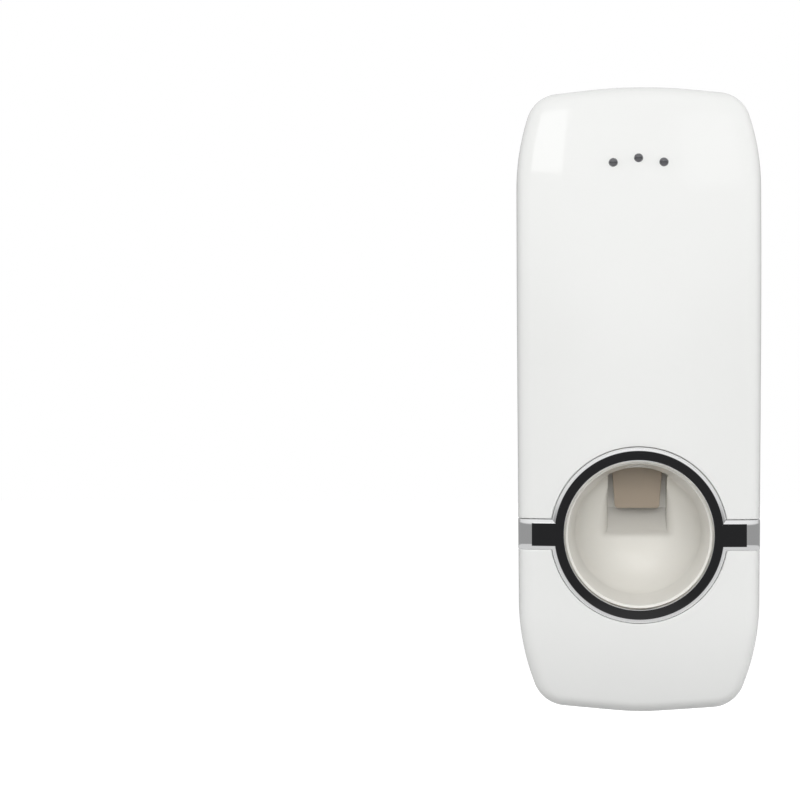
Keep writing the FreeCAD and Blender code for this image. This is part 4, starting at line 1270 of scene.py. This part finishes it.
@dataclass
class Studio:
    """Floor, light, background and camera."""

    casing: Casing
    drop: float = 0.22
    floor_half: float = 6.0
    floor_colour: Colour = (0.35, 0.35, 0.35)
    floor_glow: float = 0.9
    sky_strength: float = 0.4
    room: tuple[Pair, ...] = ((0.0, 0.72), (0.4, 0.72), (0.45, 0.36), (0.55, 0.36), (0.66, 0.8), (1.0, 1.0))
    lamps: tuple[Lamp, ...] = (
        Lamp("overhead", (-0.15, -1.3, 1.12), (0.9, 0.9), 7.8),
        Lamp("front", (0.0, -0.8, 0.06), (0.3, 0.3), 2.25),
        Lamp("fill_left", (-1.3, -0.25, 0.1), (0.6, 0.8), 3.2),
        Lamp("fill_right", (1.3, -0.25, 0.1), (0.6, 0.8), 4.8),
        Lamp("back", (0.25, 1.6, 0.25), (0.9, 0.9), 11.0),
        Lamp("window_left", (-0.385, -1.3, 0.85), (0.2, 0.29), 0.34, mirrored=True),
        Lamp("window_right", (0.34, -1.3, 0.78), (0.26, 0.3), 0.16, mirrored=True))
    distance: float = 0.65
    aim_z: float = -0.0356
    yaw: float = math.radians(1.2)
    pixel: float = 0.0002927
    middle_pixel_x: float = 639.0
    clip_start: float = 0.01

    def _floor(self) -> None:
        """A wide pale floor below the dispenser that looks white to the camera."""
        sides = [-self.floor_half, self.floor_half]
        points = placed(*np.meshgrid(sides, sides), self.casing.foot_z - self.drop)
        floor = new_object("floor", Form(points.reshape(-1, 3), grid_faces(2, 2)[:, ::-1]))
        material = bpy.data.materials.new("floor_pale")
        material.use_nodes = True
        graph = Graph(material.node_tree)
        seen = graph.node("ShaderNodeLightPath", {}, {}, "Is Camera Ray")
        pale = graph.node("ShaderNodeBsdfDiffuse", {}, {"Color": (*self.floor_colour, 1)}, "BSDF")
        glow = graph.node("ShaderNodeEmission", {}, {"Strength": seen * self.floor_glow}, "Emission")
        both = graph.node("ShaderNodeAddShader", {}, {0: pale, 1: glow}, 0)
        graph.node("ShaderNodeOutputMaterial", {}, {"Surface": both}, 0)
        floor.data.materials.append(material)
        floor.visible_glossy = False

    def _world(self) -> None:
        """White background for the camera, a soft room for gloss, and an even sky for light.

        The room is a ramp of greys from straight down, place 0, to straight up, place 1.
        """
        world = bpy.data.worlds.new("studio")
        bpy.context.scene.world = world
        world.use_nodes = True
        graph = Graph(world.node_tree)
        camera, gloss, clear = (graph.node("ShaderNodeLightPath", {}, {}, ray)
                                for ray in ("Is Camera Ray", "Is Glossy Ray", "Is Transmission Ray"))
        way = graph.node("ShaderNodeTexCoord", {}, {}, "Generated")
        up = graph.node("ShaderNodeSeparateXYZ", {}, {"Vector": way}, "Z")
        stops = [(place, (grey, grey, grey, 1)) for place, grey in self.room]
        room = graph.node("ShaderNodeValToRGB", {"stops": stops}, {"Fac": up * 0.5 + 0.5}, "Color")
        sky, shown, white = (
            graph.node("ShaderNodeBackground", {}, {"Color": colour, "Strength": strength}, "Background")
            for colour, strength in ((WHITE, self.sky_strength), (room, 1.0), (WHITE, 1.0)))
        lit = graph.node("ShaderNodeMixShader", {}, {0: gloss + clear, 1: sky, 2: shown}, 0)
        final = graph.node("ShaderNodeMixShader", {}, {0: camera, 1: lit, 2: white}, 0)
        graph.node("ShaderNodeOutputWorld", {}, {"Surface": final}, 0)

    def _target(self) -> Vector:
        """Point on the casing's front that falls on its pixel."""
        return Vector((0, -self.casing.depth, self.aim_z))

    def _lights(self) -> None:
        """The area lamps."""
        for lamp in self.lamps:
            light = bpy.data.lights.new(lamp.name, "AREA")
            light.shape = "RECTANGLE"
            light.size, light.size_y = lamp.size
            light.energy = lamp.power
            made = linked(lamp.name, light)
            made.location = lamp.place
            made.visible_glossy = lamp.mirrored
            made.rotation_euler = (self._target() - made.location).to_track_quat("-Z", "Y").to_euler()

    def _camera(self) -> None:
        """The camera: aimed at the casing, then turned so that its middle falls on its pixel."""
        aside = (self.middle_pixel_x - IMAGE_SIZE / 2) * self.pixel
        along = math.sqrt(self.distance ** 2 - aside ** 2)
        camera = bpy.data.cameras.new("camera")
        camera.sensor_width = SENSOR_MM
        camera.lens = SENSOR_MM * along / (IMAGE_SIZE * self.pixel)
        camera.clip_start = self.clip_start
        made = linked("camera", camera)
        way = Vector((-math.sin(self.yaw), -math.cos(self.yaw), 0))
        place = self._target() + way * self.distance
        aim = (-way).to_track_quat("-Z", "Y").to_matrix().to_4x4()
        turn = Matrix.Rotation(math.atan2(aside, along), 4, "Y")
        made.matrix_world = Matrix.Translation(place) @ aim @ turn
        bpy.context.scene.camera = made

    def build(self) -> None:
        """Sets up the studio."""
        bpy.context.scene.view_settings.view_transform = "Standard"
        self._floor()
        self._world()
        self._lights()
        self._camera()


def dress_nodes(frame: dict[str, Any]) -> None:
    """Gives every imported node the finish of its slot.
    """
    for part in frame["record"]["subparts"]:
        mesh = frame["nodes"][part["node"]].data
        mesh.materials.clear()
        mesh.materials.append(FINISHES[part["material_slot"]].material())


def main() -> None:
    """Loads the frame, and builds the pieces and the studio."""
    logging.basicConfig(level=logging.INFO, format="%(message)s")
    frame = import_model()
    casing, port = Casing(), Port()
    dress_nodes(frame)
    Covers(casing, port).build()
    Trim(casing, port).build()
    BrushPort(port).build()
    Copies(frame["nodes"]).build()
    ReturnSpring().build()
    Studio(casing).build()


if __name__ == "__main__":
    main()
